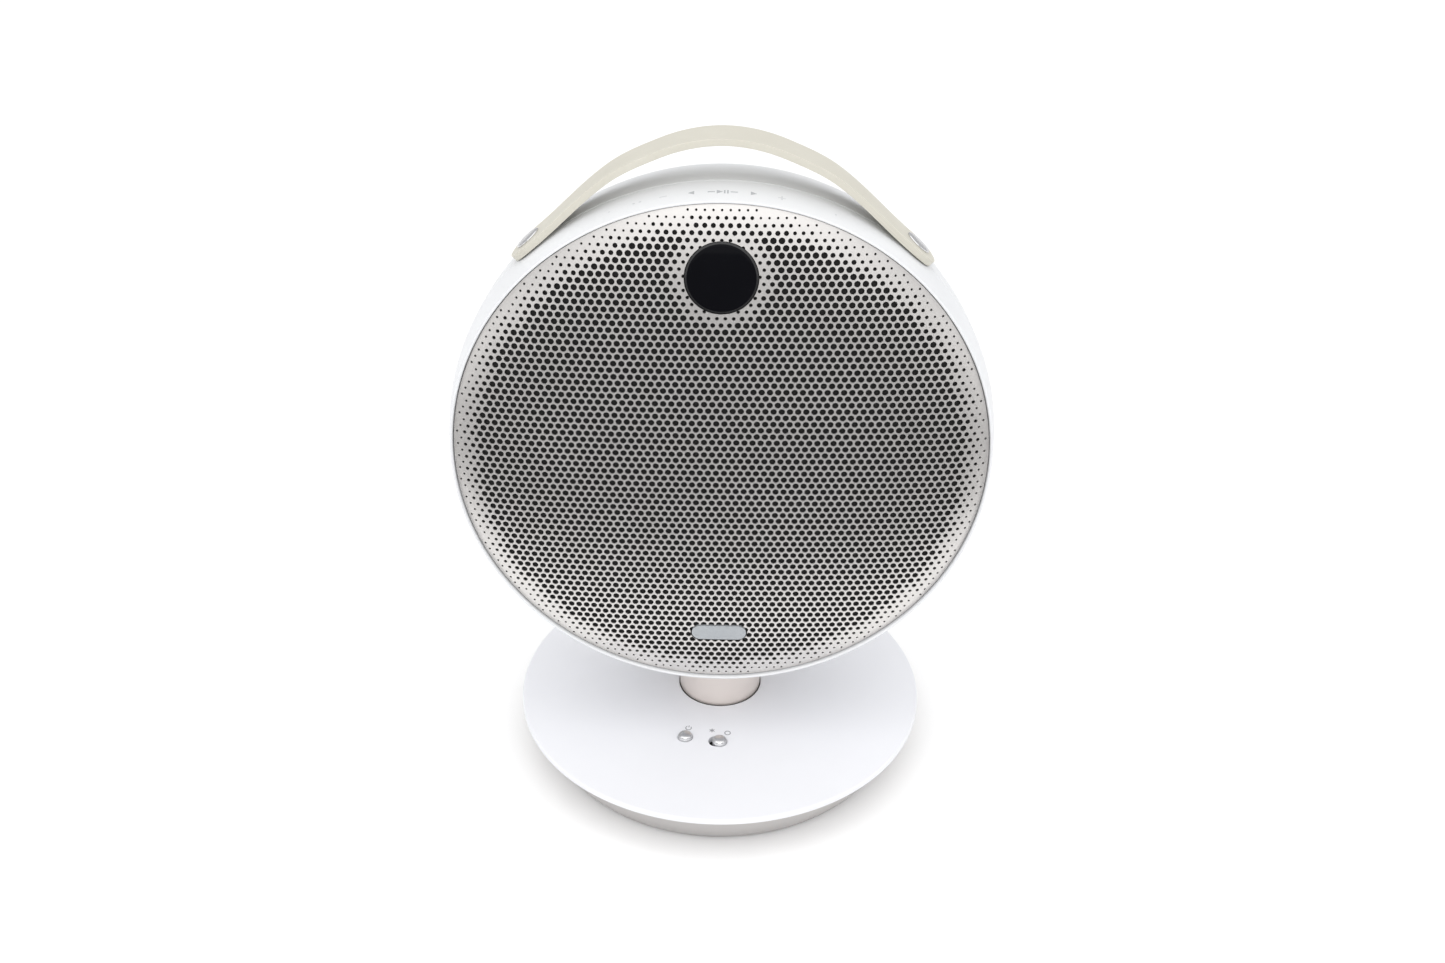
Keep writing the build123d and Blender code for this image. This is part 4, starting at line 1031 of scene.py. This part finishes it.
for point in strap.data.vertices:
    along, across = point.co.x, point.co.y
    corner = max(abs(across) - (strap_width / 2 - TIP_ROUND), 0)
    reach = strap_length / 2 - TIP_ROUND + sqrt(max(TIP_ROUND**2 - corner**2, 0))
    straight = strap_length / 2 - 2 * TIP_ROUND
    if abs(along) > straight:
        share = (abs(along) - straight) / (strap_length / 2 - straight)
        along = copysign(straight + share * (reach - straight), along)
    spot = strap_length / 2 - along
    rise = np.interp(spot, lengths, line_z)
    point.co = (np.interp(spot, lengths, line_x), strap_middle + across, head_z + rise)
thicken(strap, STRAP_THICK, offset=0, even=True)
face_out(strap)
soften(strap, 1.25 * MM, 5, 50)


def hide_group():
    """Close leather grain: small rounded cells with fine creases between them."""
    group = bpy.data.node_groups.new("leather_grain", "ShaderNodeTree")
    group.interface.new_socket("Height", in_out="OUTPUT", socket_type="NodeSocketFloat")
    node, link = group.nodes.new, group.links.new
    where, result = node("ShaderNodeTexCoord"), node("NodeGroupOutput")
    cells, warp = node("ShaderNodeTexVoronoi"), node("ShaderNodeTexNoise")
    mixed = node("ShaderNodeVectorMath")
    cells.feature = "SMOOTH_F1"
    cells.inputs["Scale"].default_value = 950
    warp.inputs["Scale"].default_value = 260
    mixed.operation = "MULTIPLY_ADD"
    mixed.inputs[1].default_value = (0.0012, 0.0012, 0.0012)
    link(where.outputs["Object"], warp.inputs["Vector"])
    link(warp.outputs["Color"], mixed.inputs[0])
    link(where.outputs["Object"], mixed.inputs[2])
    link(mixed.outputs["Vector"], cells.inputs["Vector"])
    link(cells.outputs["Distance"], result.inputs["Height"])
    return group


cream_leather = finish_of(
    "cream_leather", (0.585, 0.563, 0.487), (0.61, 0.59, 0.517), (0.42, 0.56),
    1100, 0.03, 35, relief=(hide_group(), 0.05),
)
set_finish(strap, cream_leather)
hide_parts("strap")
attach(strap, "head")

# ---------------------------------------------------------------- head: strap caps
# Each end of the strap is held by a low round cap turned from aluminium, on a post that goes
# through the leather and the shell to a nut inside.
CAP_ANGLE, CAP_RADIUS, POST_RADIUS, POST_LENGTH = 41.3, 6.0, 2.0, 10
CAP_EDGE = ((0.45, 0), (0.7, 0.15), (0.9, 0.7), (1.05, 1.6), (1.15, 3.0), (1.2, 4.4))
cap_seat = lay_radius / MM + STRAP_THICK / MM / 2
for name, side in (("right_strap_cap", 1), ("left_strap_cap", -1)):
    cap = turned(
        name,
        millimetres([
            (cap_seat - POST_LENGTH, POST_RADIUS), (cap_seat, POST_RADIUS), (cap_seat, CAP_RADIUS - 0.1),
            *((cap_seat + rise, CAP_RADIUS - fall) for rise, fall in CAP_EDGE),
        ]),
        64, (0, strap_middle, 0), ends=True,
    )
    cap.location = (0, 0, head_z)
    cap.rotation_euler = (0, side * radians(CAP_ANGLE), 0)
    pick(cap)
    bpy.ops.object.transform_apply(location=True, rotation=True)
    bpy.ops.object.shade_smooth_by_angle(angle=radians(30))
    finish = turned_metal(
        name + "_metal", (0.72, 0.72, 0.73), (0.66, 0.66, 0.67), (0.2, 0.32),
        Vector((0, strap_middle, head_z)), (0, side * radians(CAP_ANGLE), 0), 500,
    )
    set_finish(cap, finish)
    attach(cap, "head")
    if side > 0:
        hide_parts("strap_caps")

# ---------------------------------------------------------------- head: inside
# Behind the grille: the rubber joint, the baffle with its drivers, the boards, and the parts that
# clamp the neck. They keep their built shapes and each has its own finish.
cast_alloy = finish_of("cast_alloy", (0.42, 0.42, 0.43), (0.50, 0.50, 0.51), (0.45, 0.6), 350, 0.08, 50, 0.9)
ferrite = finish_of("ferrite", (0.040, 0.040, 0.043), (0.058, 0.056, 0.055), (0.55, 0.75), 300, 0.1, 70)
pressed_paper = finish_of(
    "pressed_paper", (0.045, 0.044, 0.043), (0.062, 0.060, 0.058), (0.75, 0.9), 500, 0.12, 90,
)
amber_cloth = finish_of("amber_cloth", (0.50, 0.33, 0.10), (0.58, 0.40, 0.14), (0.6, 0.8), 800, 0.1, 60)
copper_wire = finish_of(
    "copper_wire", (0.62, 0.27, 0.13), (0.70, 0.33, 0.17), (0.25, 0.4), 900, 0.05, 80, 1.0,
)
coated_silk = finish_of(
    "coated_silk", (0.045, 0.045, 0.050), (0.060, 0.060, 0.066), (0.3, 0.45), 900, 0.03, 60,
)
grey_gasket = finish_of("grey_gasket", (0.34, 0.34, 0.34), (0.40, 0.40, 0.40), (0.6, 0.8), 700, 0.05)
for finish, names in (
    (grey_gasket, ("grille_gasket",)),
    (foot_rubber, ("woofer_surround",)),
    (black_moulding, ("window_holder", "front_baffle", "tweeter_plates", "swivel_washer",
                      "neck_connector", "capacitors")),
    (zinc, ("baffle_screws", "woofer_screws", "woofer_top_plate", "woofer_yoke", "processor_shield",
            "swivel_retainer", "neck_flange", "neck_screws", "strap_nuts")),
    (board_green, ("window_board", "main_board", "touch_board")),
    (cast_alloy, ("woofer_frame", "heat_sink", "neck_bracket")),
    (ferrite, ("woofer_magnet", "tweeter_magnets")),
    (pressed_paper, ("woofer_cone", "dust_cap")),
    (amber_cloth, ("woofer_spider",)),
    (copper_wire, ("voice_coil",)),
    (coated_silk, ("tweeter_domes",)),
    (cable_jacket, ("head_loom",)),
):
    for node in names:
        set_finish(frame["nodes"][node], finish)

# ---------------------------------------------------------------- stage: table finish
# The table top is painted a bright matte white, so that it fades into the room around it and
# only the soft shadow under the base shows.
table_white = finish_of("table_white", (0.93, 0.93, 0.93), (0.95, 0.95, 0.95), (0.6, 0.7), 300, 0.02, 3)
set_finish(floor, table_white)

# ---------------------------------------------------------------- stage: grey card
# A dark grey card lying on the table in front of the speaker, out of sight of the camera. It stands
# only in reflections, where it darkens the middle of the grille as a studio flag does.
bpy.ops.object.select_all(action="DESELECT")
bpy.ops.mesh.primitive_plane_add(size=1, location=(0, -1.4, 0.002))
card = bpy.context.object
card.name = "grey_card"
card.scale = (1.3, 2.4, 1)
bpy.ops.object.transform_apply(scale=True)
card.visible_camera = False
card.visible_diffuse = False
card.visible_shadow = False
card_grey = finish_of("card_grey", (0.21, 0.21, 0.215), (0.24, 0.24, 0.245), (0.8, 0.9), 300, 0.02, 6)
set_finish(card, card_grey)
